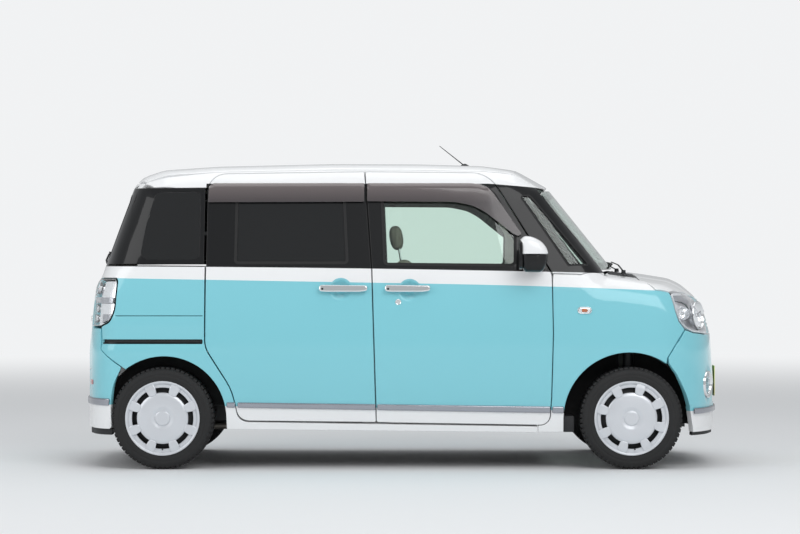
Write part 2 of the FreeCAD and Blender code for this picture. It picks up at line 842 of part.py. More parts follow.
tyre_section = [
    (f"-{OUT}", "Sizes.rim_radius + Sizes.seat_gap"),
    (f"-{OUT}", "Sizes.tyre_radius - 3 * Sizes.tread_shoulder"),
    (f"-{OUT} + Sizes.tread_shoulder", "Sizes.tyre_radius - 4"),
    (f"-{OUT} + 3 * Sizes.tread_shoulder", "Sizes.tyre_radius"),
    (f"{OUT} - 3 * Sizes.tread_shoulder", "Sizes.tyre_radius"),
    (f"{OUT} - Sizes.tread_shoulder", "Sizes.tyre_radius - 4"),
    (f"{OUT}", "Sizes.tyre_radius - 3 * Sizes.tread_shoulder"),
    (f"{OUT}", "Sizes.rim_radius + Sizes.seat_gap"),
]
wheel_section = [
    (f"-{OUT} + Sizes.face_inset", "Sizes.rim_radius"),
    (f"{OUT} - Sizes.face_inset", "Sizes.rim_radius"),
    (f"{OUT} - Sizes.cover_lip", "Sizes.slot_circle + Sizes.disc_thickness"),
    (f"{OUT} - 2 * Sizes.cover_lip", "Sizes.slot_circle - Sizes.pad_step"),
    (f"{OUT}", "Sizes.dome_radius - 20"),
    (f"{OUT} + 4", "Sizes.hub_radius"),
    (f"{OUT} + 4", "0"),
    (f"{OUT} - Sizes.cover_depth - Sizes.disc_thickness", "0"),
    (f"{OUT} - Sizes.cover_depth - Sizes.disc_thickness", "Sizes.rim_barrel - 20"),
    (f"{OUT} - Sizes.cover_depth - Sizes.disc_thickness", "Sizes.rim_barrel"),
    (f"-{OUT} + Sizes.face_inset", "Sizes.rim_barrel"),
]
SLOT = "Sizes.slot_length / 2"
slot_section = [
    (f"-{SLOT}", "Sizes.slot_circle - Sizes.slot_width / 2"),
    (f"{SLOT}", "Sizes.slot_circle - Sizes.slot_width / 2"),
    (f"{SLOT}", "Sizes.slot_circle + Sizes.slot_width / 2"),
    (f"-{SLOT}", "Sizes.slot_circle + Sizes.slot_width / 2"),
]
# A pad's corners, turned half a step from the slots: (distance out, distance across).
HALF_STEP = "180 deg / Sizes.slot_count"
pad_section = [
    (f"{out} * sin({HALF_STEP}) + {across} * cos({HALF_STEP})",
     f"{out} * cos({HALF_STEP}) - {across} * sin({HALF_STEP})")
    for out, across in (
        ("(Sizes.slot_circle - Sizes.pad_radius)", "(-0.7 * Sizes.pad_radius)"),
        ("(Sizes.slot_circle - Sizes.pad_radius)", "(0.7 * Sizes.pad_radius)"),
        ("(Sizes.slot_circle + Sizes.cover_lip)", "Sizes.pad_radius"),
        ("(Sizes.rim_radius - Sizes.cover_lip)", "(0.6 * Sizes.pad_radius)"),
        ("(Sizes.rim_radius - Sizes.cover_lip)", "(-0.6 * Sizes.pad_radius)"),
        ("(Sizes.slot_circle + Sizes.cover_lip)", "(-Sizes.pad_radius)"),
    )
]
for end, axle in AXLES:
    for side_name, side in SIDES:
        label = f"{end}_{side_name}"
        turn = Rotation(Vector(0, 0, 1), 0 if side == LEFT else 180)
        place = (axle, f"{side} * Sizes.track / 2", CENTRE, turn)
        keep(at(turned_body("tyre_" + label, tyre_section), *place), "tyre_" + label)
        keep(at(dressed_wheel("wheel_" + label), *place), "wheel_" + label)

for side_name, side in SIDES:
    upright = rod(f"upright_{side_name}", "Sizes.kingpin_radius", "Sizes.kingpin_length",
                  FRONT_AXLE, f"{side} * Sizes.kingpin_half", f"{CENTRE} - Sizes.kingpin_length / 2")
    hub_turn = Rotation(Vector(1, 0, 0), -90 * side)
    carrier = rod(f"carrier_{side_name}", "Sizes.hub_radius + 14", "30",
                  FRONT_AXLE, f"{side} * (Sizes.kingpin_half - 20)", CENTRE, hub_turn)
    stub = rod(f"stub_{side_name}", "Sizes.bearing_radius",
               f"Sizes.track / 2 + {OUT} - Sizes.cover_depth - Sizes.disc_thickness"
               " - Sizes.seat_gap - Sizes.kingpin_half",
               FRONT_AXLE, f"{side} * Sizes.kingpin_half", CENTRE, hub_turn)
    arm = box(f"steering_arm_{side_name}", "120", "26", "20", f"{FRONT_AXLE} - 125",
              f"{side} * (Sizes.kingpin_half - 28) - 13", f"{CENTRE} - 60")
    keep(fused(f"knuckle_{side_name}", [upright, carrier, stub, arm]), f"knuckle_{side_name}")

# Rear axle: a cross beam with two trailing arms and a stub in each wheel.
beam = rod("axle_beam", "Sizes.beam_radius", "Sizes.track - 220", REAR_AXLE,
           "-(Sizes.track - 220) / 2", CENTRE, ALONG_Y)
axle_items = [beam]
for side_name, side in SIDES:
    out_turn = Rotation(Vector(1, 0, 0), -90 * side)
    axle_items.append(rod(
        f"rear_stub_{side_name}", "Sizes.bearing_radius",
        f"Sizes.stub_inset + {OUT} - Sizes.cover_depth - Sizes.disc_thickness - Sizes.seat_gap",
        REAR_AXLE, f"{side} * (Sizes.track / 2 - Sizes.stub_inset)", CENTRE, out_turn))
    axle_items.append(rod(
        f"rear_drum_{side_name}", "Sizes.hub_radius + 50", "40",
        REAR_AXLE, f"{side} * (Sizes.track / 2 - 40)", CENTRE, out_turn))
    axle_items.append(box(
        f"trailing_arm_{side_name}", "330", "50", "46", REAR_AXLE,
        f"{side} * (Sizes.track / 2 - Sizes.arm_inset) - 25", f"{CENTRE} - 23"))
    axle_items.append(box(
        f"arm_bracket_{side_name}", "60", "50", f"Sizes.floor_height - {CENTRE}", f"{REAR_AXLE} + 270",
        f"{side} * (Sizes.track / 2 - Sizes.arm_inset) - 25", CENTRE))
    axle_items.append(rod(
        f"rear_spring_{side_name}", "45", f"Sizes.floor_height - {CENTRE}", f"{REAR_AXLE} + 120",
        f"{side} * (Sizes.track / 2 - Sizes.arm_inset)", CENTRE))
keep(fused("rear_axle", axle_items), "rear_axle")

# Front suspension: a cross member, a lower arm under each knuckle and a strut beside it.
carrier_items = [box("cross_member", "120", "700", "60", f"{FRONT_AXLE} - 60", "-350",
                     f"{CENTRE} - Sizes.kingpin_length / 2 - 30")]
for side_name, side in SIDES:
    carrier_items.append(box(
        f"lower_arm_{side_name}", "44", "Sizes.kingpin_half + 15 - 340", "22",
        f"{FRONT_AXLE} - 22",
        f"{side} * (340 + Sizes.kingpin_half + 15) / 2 - (Sizes.kingpin_half - 325) / 2",
        f"{CENTRE} - Sizes.kingpin_length / 2 - Sizes.seat_gap - 22"))
    carrier_items.append(rod(
        f"strut_{side_name}", "Sizes.strut_radius", f"Sizes.strut_top - {CENTRE} - 40",
        FRONT_AXLE, f"{side} * Sizes.strut_half", f"{CENTRE} + 40"))
    carrier_items.append(box(
        f"strut_foot_{side_name}", "40", "150", "30", f"{FRONT_AXLE} - 20",
        f"{side} * 425 - 75", f"{CENTRE} + 40"))
    carrier_items.append(box(
        f"strut_link_{side_name}", "40", "30", "190", f"{FRONT_AXLE} - 20",
        f"{side} * 345 - 15", f"{CENTRE} - Sizes.kingpin_length / 2"))
    carrier_items.append(box(
        f"rail_{side_name}", f"{NOSE} - 150 - ({DOOR_EDGE}) - 50", "60", "80",
        f"{DOOR_EDGE} + 50",
        f"{side} * 370 - 30", "620"))
    carrier_items.append(box(
        f"strut_tower_{side_name}", "150", "200", "30", f"{FRONT_AXLE} - 75",
        f"{side} * 460 - 100", "Sizes.strut_top"))
    carrier_items.append(box(
        f"tower_leg_{side_name}", "60", "30", "Sizes.strut_top - 690", f"{FRONT_AXLE} - 30",
        f"{side} * 375 - 15", "695"))
keep(fused("front_suspension", carrier_items), "front_suspension")

keep(box("engine_block", "Sizes.engine_length", "Sizes.engine_width", "Sizes.engine_height",
         f"{FRONT_AXLE} - 5", "-Sizes.engine_width / 2",
         f"{CENTRE} - Sizes.kingpin_length / 2 + 30 + Sizes.seat_gap"), "engine_block")

# Floor: a pan over the whole cabin, narrower between the rear wheels.
floor_low = size.floor_height
floor_high = size.floor_height + size.floor_thickness
notch = size.rear_arch_radius + 12
pan = plan_prism(outline((tail + 80, -560), [
    (rear_axle + 8 - notch, -560),
    (rear_axle + 8 - notch, -540),
    (rear_axle + 8 + notch, -540),
    (rear_axle + 8 + notch, -size.floor_half),
    (front_door_edge + 50, -size.floor_half),
    (front_door_edge + 50, size.floor_half),
    (rear_axle + 8 + notch, size.floor_half),
    (rear_axle + 8 + notch, 540),
    (rear_axle + 8 - notch, 540),
    (rear_axle + 8 - notch, 560),
    (tail + 80, 560),
]), floor_low, floor_high)
bulkhead = block(front_door_edge + 20, front_door_edge + 50, -600, 600, floor_high, 1000)
floor_shape = joined([pan, bulkhead]).cut([body_side, mirrored(body_side)])
panel("floor_pan", floor_shape)


# Wheel arch liners: a curved sheet above each wheel with a flat sheet inboard.
def liner(axle, radius, inboard, outboard, foot):
    """Half a drum over one wheel, open outwards and downwards."""
    wide = outline((axle - radius, foot), [
        (axle - radius, wheel_centre),
        (axle, wheel_centre + radius, axle + radius, wheel_centre),
        (axle + radius, foot),
    ])
    outer = side_prism(wide, -outboard, -inboard)
    inner = side_prism(grown(wide, -size.liner_thickness), -outboard - 1, -inboard - size.liner_thickness)
    trim = block(axle - radius, axle + radius, -outboard, -inboard, 0, foot + size.liner_thickness + 1)
    return outer.cut(inner).cut(trim)


front_liner = liner(front_axle - 10, size.front_arch_radius + 2, 392, 690, 215)
rear_liner = liner(rear_axle + 8, size.rear_arch_radius + 2, 540 + size.seat_gap, 690, 215)
for cutter in (front_opening, wall):
    front_liner = front_liner.cut(cutter)
rear_liner = rear_liner.cut(wall).cut(frame_layer)
strut_slot = block(front_axle - 40, front_axle + 40, -560, -380, 0, FAR)
front_liner = max(front_liner.Solids, key=lambda solid: solid.Volume).cut(strut_slot)
rear_slot = block(rear_axle - 110, FAR, -560, -530, 0, 330)
rear_liner = rear_liner.cut(rear_slot)
liners = [front_liner, rear_liner, mirrored(front_liner), mirrored(rear_liner)]
panel("wheel_liners", Part.makeCompound(liners))

# Visors: smoked strips standing off the tops of the door windows.
visor_skin = layer(-16.0, -12.0).common(on_side(RIGHT, 300))
visor_root = layer(-16.0, -size.seat_gap).common(on_side(RIGHT, 300))
front_visor_line = outline((pillar_gap - 40, 1400), [
    (pillar_gap - 40, 1506),
    (front_door_edge - 481, 1503),
    (front_door_edge - 351, 1500, front_door_edge - 281, 1440),
    (front_door_edge - 141, 1240),
    (front_door_edge - 221, 1240),
    (front_door_edge - 341, 1385, front_door_edge - 451, 1398),
])
slide_visor_line = outline((slide_door_edge + 24, 1400), [
    (slide_door_edge + 24, 1490),
    (slide_door_edge + 40, 1506),
    (pillar_gap - 58, 1506),
    (pillar_gap - 58, 1400),
])


def visor(line, root_low):
    strip = visor_skin.common(side_prism(line, -FAR, 0))
    root = visor_root.common(side_prism(line, -FAR, 0)).common(block(-FAR, FAR, -FAR, FAR, root_low, FAR))
    return strip.fuse(root).removeSplitter()


both_sides("visor_front", visor(front_visor_line, 1480))
slide_visor = visor(slide_visor_line, 1492)
panel("visors_slide", Part.makeCompound([slide_visor, mirrored(slide_visor)]))


# Door mirrors: a rounded shell on a foot at the front of the window.
mirror_front = front_door_edge - 31
mirror_inner = half_width - 2.5
mirror_shell = block(mirror_front - 144, mirror_front, -size.mirror_reach, -mirror_inner, 1078, 1222)
mirror_shell = mirror_shell.makeFillet(min(38, 0.45 * (size.mirror_reach - mirror_inner)), mirror_shell.Edges)
mirror_foot = block(mirror_front - 60, mirror_front - 6, -mirror_inner - 15, -640, 1070, 1112).cut(hulls[0.0])
mirror = joined([mirror_shell, mirror_foot])
both_sides("mirror", mirror)

# Seats: cushions and backs for two in front and a bench behind.
def seat(x_low, y_low, y_high, depth=430, top=1130):
    cushion = block(x_low, x_low + depth, y_low, y_high, 560, 690)
    back = side_prism(outline((x_low, 600), [
        (x_low + 90, 600),
        (x_low - 30, top),
        (x_low - 130, top),
    ]), y_low, y_high)
    rest = side_prism(outline((x_low - 130, top + 10), [
        (x_low - 45, top + 10),
        (x_low - 70, top + 170),
        (x_low - 140, top + 170),
    ]), (y_low + y_high) / 2 - 115, (y_low + y_high) / 2 + 115)
    base = block(x_low + 60, x_low + depth - 60, y_low + 60, y_high - 60, floor_high + size.seat_gap, 560)
    middle = (y_low + y_high) / 2
    post = block(x_low - 105, x_low - 75, middle - 10, middle + 10, top - 60, top + 60)
    return joined([cushion, back, rest, base, post])


front_seats = [seat(pillar_gap + 210, side * 330 - 240, side * 330 + 240) for side in (RIGHT, LEFT)]
panel("front_seats", Part.makeCompound(front_seats))
panel("rear_seat", seat(slide_door_edge + 239, -520, 520, 420, 1100))

dash = side_prism(outline((front_door_edge + 20 - size.seat_gap, 760), [
    (front_door_edge + 20 - size.seat_gap, 1010),
    (front_door_edge - 100, 1000),
    (front_door_edge - 150, 930),
    (front_door_edge - 90, 760),
]), -590, 590)
panel("dashboard", dash)
tilt = Vector(-0.87, 0, 0.49)
rim_centre = Vector(front_door_edge - 221, -330, 950)
wheel_rim = Part.makeTorus(178, 13, rim_centre, tilt)
spokes = Part.makeCylinder(12, 340, rim_centre + Vector(0, -170, 0), Vector(0, 1, 0))
column = Part.makeCylinder(28, 150, rim_centre + tilt * 10, tilt * -1)
panel("steering_wheel", joined([wheel_rim, spokes, column]).cut(dash))

# Below: the exhaust with its silencer, and the fuel tank.
silencer_radius = 75
exhaust_pipe = Part.makeCylinder(20, 1500, Vector(tail + 60, -300, 205), Vector(1, 0, 0))
silencer = Part.makeCylinder(
    silencer_radius, 280, Vector(tail + 90, -300, floor_low - size.seat_gap - silencer_radius),
    Vector(1, 0, 0))
panel("exhaust", joined([exhaust_pipe, silencer]))
tank = block(rear_axle + 560, rear_axle + 1130, -140, 520, 200, floor_low - size.seat_gap)
panel("fuel_tank", tank.makeFillet(30, tank.Edges))

# Antenna: a thin rod leaning back from a foot at the front of the roof.
lean = Vector(-0.77, 0, 0.64)
foot_point = Vector(nose - 1357, 0, size.roof_top - 16)
antenna = Part.makeCylinder(size.antenna_radius, size.antenna_length, foot_point, lean)
antenna_foot = Part.makeCone(24, 12, 26, foot_point - Vector(0, 0, 6), Vector(0, 0, 1))
panel("antenna", joined([antenna, antenna_foot]).cut(hulls[0.0]))

doc.recompute()
for item in doc.Objects:
    if "Invalid" in item.State or "Error" in item.State:
        raise RuntimeError(f"{item.Label}: {item.State}")
for piece in pieces:
    if piece.Shape.isNull() or not piece.Shape.isValid():
        raise RuntimeError(f"{piece.Label}: bad shape")
os.makedirs("parts", exist_ok=True)
for piece in pieces:
    piece.Shape.exportStep(f"parts/{piece.Label}.step")
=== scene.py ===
import functools
import math
import bmesh
import bpy
import numpy as np
from mathutils import Matrix, Vector, geometry


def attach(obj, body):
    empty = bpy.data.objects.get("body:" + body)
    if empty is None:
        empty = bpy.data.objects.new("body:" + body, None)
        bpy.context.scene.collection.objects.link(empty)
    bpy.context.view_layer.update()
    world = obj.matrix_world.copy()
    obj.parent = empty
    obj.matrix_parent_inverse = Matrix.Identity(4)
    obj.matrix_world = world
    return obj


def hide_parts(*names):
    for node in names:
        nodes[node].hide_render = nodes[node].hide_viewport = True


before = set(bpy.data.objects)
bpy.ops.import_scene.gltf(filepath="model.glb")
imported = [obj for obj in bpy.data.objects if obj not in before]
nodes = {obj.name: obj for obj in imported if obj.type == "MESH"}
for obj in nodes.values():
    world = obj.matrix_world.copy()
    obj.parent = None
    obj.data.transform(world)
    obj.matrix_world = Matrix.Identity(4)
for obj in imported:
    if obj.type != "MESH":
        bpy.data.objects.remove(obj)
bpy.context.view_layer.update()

# ---- Studio ----
# A pale seamless floor, three large soft lamps and an even world around the car.
# The camera looks square at the right side from eye height, far back.

scene = bpy.context.scene
scene.view_settings.view_transform = "Standard"
lens = bpy.data.cameras.new("camera")
lens.lens = 111.9
lens.clip_end = 100
camera = bpy.data.objects.new("camera", lens)
camera.location = (-0.017, -13.7375, 1.06)
camera.rotation_euler = (math.radians(90), 0, 0)
scene.collection.objects.link(camera)
scene.camera = camera


def links_of(tree):
    """Short ways to add a node to the tree and to join two sockets."""
    def add(kind, **inputs):
        node = tree.nodes.new(kind)
        for name, value in inputs.items():
            node.inputs[name.replace("_", " ")].default_value = value
        return node
    return add, tree.links.new


def finish_with(name, colour, roughness=0.5, metallic=0.0, **extra):
    """A material whose Principled shader holds the plain values; its tree may be added to."""
    material = bpy.data.materials.new(name)
    material.use_nodes = True
    shader = material.node_tree.nodes["Principled BSDF"]
    shader.inputs["Base Color"].default_value = (*colour, 1)
    shader.inputs["Roughness"].default_value = roughness
    shader.inputs["Metallic"].default_value = metallic
    for key, value in extra.items():
        shader.inputs[key.replace("_", " ")].default_value = value
    return material


world = bpy.data.worlds.new("studio")
world.use_nodes = True
scene.world = world
add, join = links_of(world.node_tree)
backdrop = world.node_tree.nodes["Background"]
backdrop.inputs["Color"].default_value = (0.86, 0.88, 0.9, 1)
backdrop.inputs["Strength"].default_value = 0.55
seen = add("ShaderNodeBackground", Color=(0.88, 0.89, 0.9, 1), Strength=1.0)
path = add("ShaderNodeLightPath")
either = add("ShaderNodeMath")
either.operation = "MAXIMUM"
join(path.outputs["Is Camera Ray"], either.inputs[0])
join(path.outputs["Is Transmission Ray"], either.inputs[1])
choose = add("ShaderNodeMixShader")
join(either.outputs[0], choose.inputs[0])
join(backdrop.outputs[0], choose.inputs[1])
join(seen.outputs[0], choose.inputs[2])
join(choose.outputs[0], world.node_tree.nodes["World Output"].inputs["Surface"])

for name, place, aim, width, power in (
    ("key", (3.5, -7.5, 6.0), (0, 0, 0.8), 6.0, 320),
    ("fill", (-6.5, -5.0, 4.0), (0, 0, 0.8), 5.0, 150),
    ("top", (0, 1.0, 8.0), (0, 0, 0), 7.0, 180),
):
    lamp = bpy.data.lights.new(name, "AREA")
    lamp.size = width
    lamp.energy = power
    stand = bpy.data.objects.new(name, lamp)
    stand.location = place
    stand.rotation_euler = (Vector(place) - Vector(aim)).to_track_quat("Z", "Y").to_euler()
    scene.collection.objects.link(stand)

floor_mesh = bpy.data.meshes.new("floor")
floor_mesh.from_pydata([(-60, -60, 0), (60, -60, 0), (60, 60, 0), (-60, 60, 0)], [], [(0, 1, 2, 3)])
floor = bpy.data.objects.new("floor", floor_mesh)
scene.collection.objects.link(floor)
floor_paint = finish_with("studio_floor", (0.8, 0.81, 0.82), 0.75)
floor_mesh.materials.append(floor_paint)
tree = floor_paint.node_tree
add, join = links_of(tree)
spot = add("ShaderNodeTexCoord")
reach = add("ShaderNodeVectorMath")
reach.operation = "LENGTH"
fade = add("ShaderNodeMapRange", From_Min=4.0, From_Max=17.0)
fade.interpolation_type = "SMOOTHSTEP"
haze = add("ShaderNodeEmission", Color=(0.88, 0.89, 0.9, 1), Strength=1.0)
blend = add("ShaderNodeMixShader")
join(spot.outputs["Object"], reach.inputs[0])
join(reach.outputs["Value"], fade.inputs["Value"])
join(fade.outputs["Result"], blend.inputs[0])
join(tree.nodes["Principled BSDF"].outputs[0], blend.inputs[1])
join(haze.outputs[0], blend.inputs[2])
join(blend.outputs[0], tree.nodes["Material Output"].inputs["Surface"])

# ---- The body's form ----
# One smooth surface stands for the whole outer body: a side profile, rounded into the
# side walls, with bulged ends. Every painted panel and pane is a patch of it.

nose = 1.6975
tail = -nose
half_width = 0.7375
cabin_line = [
    (tail, -2), (tail, 0.64), (tail + 0.008, 0.719), (tail + 0.026, 0.904), (tail + 0.038, 0.985),
    (tail + 0.058, 1.012), (tail + 0.084, 1.071), (tail + 0.242, 1.502), (tail + 0.29, 1.552),
    (tail + 0.4, 1.588), (-1.0, 1.608), (-0.38, 1.622), (0.1, 1.62), (0.43, 1.611), (0.62, 1.586),
    (nose - 0.904, 1.49), (nose - 0.542, 1.041), (nose - 0.2, 0.617), (nose - 0.2, -2)]
bonnet_line = [
    (0.3, -2), (0.3, 1.08), (0.9, 1.06), (nose - 0.542, 1.041), (nose - 0.387, 1.022), (nose - 0.24, 0.998),
    (nose - 0.178, 0.967), (nose - 0.098, 0.902), (nose - 0.062, 0.84), (nose - 0.036, 0.77),
    (nose - 0.017, 0.69), (nose - 0.008, 0.56), (nose, 0.42), (nose, -2)]
GRID, GRID_REACH = 0.006, 1.9              # spacing and reach of the distance fields below
CROWN = 5.5                                # radius of the roof and the bonnet across the car
NOSE_TURN, NOSE_RADIUS = 1.297, 0.38      # where the side walls turn in, and how tightly
TAIL_TURN, TAIL_RADIUS = 1.4975, 0.169
NOSE_SWEEP, TAIL_SWEEP = 0.24, 0.112       # how much the ends bow out towards the middle


def spaced(points, step):
    """The points of a polyline, spread evenly along it."""
    points = np.array(points, float)
    runs = np.linalg.norm(np.diff(points, axis=0), axis=1)
    along = np.concatenate([[0], np.cumsum(runs)])
    count = max(2, int(round(along[-1] / step)) + 1)
    at = np.linspace(0, along[-1], count)
    return np.stack([np.interp(at, along, points[:, k]) for k in range(points.shape[1])], 1)


def softened(points, width, step=0.005):
    """The polyline with its corners rounded over about a width."""
    line = spaced(points, step)
    reach = max(1, int(round(width / step)))
    weights = np.hanning(2 * reach + 3)[1:-1]
    weights /= weights.sum()
    padded = np.concatenate([np.repeat(line[:1], reach, 0), line, np.repeat(line[-1:], reach, 0)])
    return np.stack([np.convolve(padded[:, k], weights, "valid") for k in range(2)], 1)


def within(points, loops):
    """Which points lie inside the first loop and outside the others."""
    inside = np.zeros(len(points), bool)
    x, y = points[:, 0], points[:, 1]
    for loop in loops:
        for (ax, ay), (bx, by) in zip(loop, np.roll(loop, -1, 0)):
            if abs(by - ay) > 1e-12:
                inside ^= ((ay > y) != (by > y)) & (x < (bx - ax) * (y - ay) / (by - ay) + ax)
    return inside


def depth_field(line):
    """A grid over X and Z of the signed distance to the closed line, negative inside."""
    xs = np.arange(-GRID_REACH, GRID_REACH, GRID)
    zs = np.arange(0.0, GRID_REACH, GRID)
    points = np.stack(np.meshgrid(xs, zs, indexing="ij"), -1).reshape(-1, 2)
    nearest = np.full(len(points), 1e9)
    for start, end in zip(line, np.roll(line, -1, 0)):
        run = end - start
        if run @ run < 1e-14:
            continue
        offset = points - start
        share = np.clip((offset[:, 0] * run[0] + offset[:, 1] * run[1]) / (run @ run), 0, 1)
        gap = offset - share[:, None] * run
        nearest = np.minimum(nearest, gap[:, 0] ** 2 + gap[:, 1] ** 2)
    field = np.sqrt(nearest)
    field[within(points, [line])] *= -1
    return field.reshape(len(xs), len(zs))


def sparse(line, tolerance=0.0004):
    """The line with the points that lie on a straight stretch left out."""
    kept = [line[0]]
    for before, point, after in zip(line, line[1:], line[2:]):
        a, b = point - kept[-1], after - point
        if abs(a[0] * b[1] - a[1] * b[0]) > tolerance * np.linalg.norm(b) or np.linalg.norm(a) > 0.4:
            kept.append(point)
    return np.array(kept + [line[-1]])


CORNER_WIDTH = 0.035
FIELDS = {which: depth_field(sparse(softened(line, CORNER_WIDTH)))
          for which, line in (("cabin", cabin_line), ("bonnet", bonnet_line))}
WIDEST, WAIST = 0.62, 1.05                 # heights of the widest line and of the windows' foot
LOWER_BULGE, UPPER_BULGE = 2.137, 2.484    # radii of the side wall below and above that line
WINDOW_LEAN = 0.2444
wall_heights = np.arange(0.0, GRID_REACH, 0.005)
from_widest = wall_heights - WIDEST
lower_wall = half_width - (LOWER_BULGE - np.sqrt(LOWER_BULGE ** 2 - from_widest ** 2))
up_to_waist = np.clip(from_widest, 0, WAIST - WIDEST)
upper_wall = half_width - (UPPER_BULGE - np.sqrt(UPPER_BULGE ** 2 - up_to_waist ** 2))
upper_wall -= np.clip(wall_heights - WAIST, 0, 2) * WINDOW_LEAN
wall_widths = softened(np.stack([wall_heights, np.where(from_widest < 0, lower_wall, upper_wall)], 1), 0.06)


def ramp(value, start, end):
    """A smooth step from 0 at start to 1 at end."""
    t = np.clip((value - start) / (end - start), 0, 1)
    return t * t * (3 - 2 * t)


def outside(points, which):
    """How far points lie outside the body's form; negative inside."""
    if which == "whole":
        return np.minimum(outside(points, "cabin"), outside(points, "bonnet"))
    x, y, z = points[:, 0], points[:, 1], points[:, 2]
    sweep = NOSE_SWEEP * ramp(x, 0.2, 0.8) - TAIL_SWEEP * ramp(-x, 0.2, 0.8)
    across = np.clip((x + y * y * sweep + GRID_REACH) / GRID, 0, FIELDS[which].shape[0] - 1.001)
    up = np.clip((np.hypot(y, z + CROWN) - CROWN) / GRID, 0, FIELDS[which].shape[1] - 1.001)
    i, j = across.astype(int), up.astype(int)
    a, b = across - i, up - j
    field = FIELDS[which]
    end = (field[i, j] * (1 - a) * (1 - b) + field[i + 1, j] * a * (1 - b)
           + field[i, j + 1] * (1 - a) * b + field[i + 1, j + 1] * a * b)
    side = np.abs(y) - np.interp(z, wall_widths[:, 0], wall_widths[:, 1])
    to_nose = np.clip(x - NOSE_TURN, 0, 0.96 * NOSE_RADIUS)
    to_tail = np.clip(-TAIL_TURN - x, 0, 0.96 * TAIL_RADIUS)
    side += NOSE_RADIUS - np.sqrt(NOSE_RADIUS ** 2 - to_nose ** 2)
    side += TAIL_RADIUS - np.sqrt(TAIL_RADIUS ** 2 - to_tail ** 2)
    if which == "bonnet":
        soft = 0.11
    else:
        soft = 0.15 - 0.05 * ramp(x, 0.3, 0.7) + 0.04 * ramp(-x, 1.2, 1.5) * ramp(z, 1.0, 1.1)
    blend = np.maximum(soft - np.abs(end - side), 0)
    return np.maximum(end, side) + blend * blend / (4 * soft)


def cast(starts, directions, which, reach=0.8):
    """Where rays from outside meet the body's form, with the outward normals there."""
    near = np.zeros(len(starts))
    far = np.full(len(starts), reach)
    for _ in range(20):
        middle = (near + far) / 2
        out = outside(starts + directions * middle[:, None], which) > 0
        near = np.where(out, middle, near)
        far = np.where(out, far, middle)
    points = starts + directions * ((near + far) / 2)[:, None]
    normals = np.stack([
        outside(points + step, which) - outside(points - step, which)
        for step in np.eye(3) * 0.004
    ], 1)
    return points, normals / np.linalg.norm(normals, axis=1)[:, None]


def seen_along(start, across, up, which, reach):
    """Patch coordinates on a plane outside the body, from which it is looked at squarely:
    the plane's origin and its two directions."""
    start, across, up = (np.array(value, float) for value in (start, across, up))
    ahead = np.cross(up, across)

    def place(u, v):
        starts = start + u[:, None] * across + v[:, None] * up
        return cast(starts, np.tile(ahead, (len(u), 1)), which, reach)
    return place


def from_side(which="cabin"):
    """Patch coordinates (x, z) on the right side wall."""
    return seen_along((0, -0.95, 0), (1, 0, 0), (0, 0, 1), which, 0.8)


def from_above(which="cabin"):
    """Patch coordinates (x, y) on the roof or the bonnet."""
    return seen_along((0, 0, 1.75), (1, 0, 0), (0, 1, 0), which, 1.2)


def from_front(which="cabin"):
    """Patch coordinates (y, z) on the nose or the windscreen."""
    return seen_along((1.8, 0, 0), (0, 1, 0), (0, 0, 1), which, 1.4)


def from_behind(which="cabin"):
    """Patch coordinates (-y, z) on the tail."""
    return seen_along((-1.8, 0, 0), (0, -1, 0), (0, 0, 1), which, 1.0)


def on_view(direction, which="whole", centre=(0, 0, 0.8), reach=2.6):
    """Patch coordinates seen along any direction, with a way to turn points into them."""
    ahead = np.array(direction, float) / np.linalg.norm(direction)
    across = np.array([ahead[1], -ahead[0], 0]) / math.hypot(ahead[0], ahead[1])
    up = np.cross(-ahead, across)

    def seen(points):
        offset = np.array(points) - centre
        return np.stack([offset @ across, offset @ up], 1)
    return seen_along(np.array(centre) - ahead * reach, across, up, which, reach), seen


BELT_OUT, BELT_END, BELT_TURN = 0.85, 1.8, 0.36    # a belt round the car: its sides, ends and corners


def round_the(end):
    """Patch coordinates (distance round the car from its middle line, height): +1 is the
    nose, -1 the tail. The right side of the car is negative at the nose, positive at the tail."""
    across = BELT_OUT - BELT_TURN

    def place(u, v):
        far = np.abs(u)
        angle = np.clip((far - across) / BELT_TURN, 0, math.pi / 2)
        beyond = np.clip(far - across - BELT_TURN * math.pi / 2, 0, None)
        x = BELT_END - BELT_TURN + BELT_TURN * np.cos(angle) - beyond
        y = np.minimum(far, across) + BELT_TURN * np.sin(angle)
        hand = np.sign(u) * end
        starts = np.stack([end * x, hand * y, v], 1)
        directions = np.stack([-end * np.cos(angle), -hand * np.sin(angle), np.zeros(len(u))], 1)
        return cast(starts, directions, "bonnet" if end > 0 else "cabin")
    return place


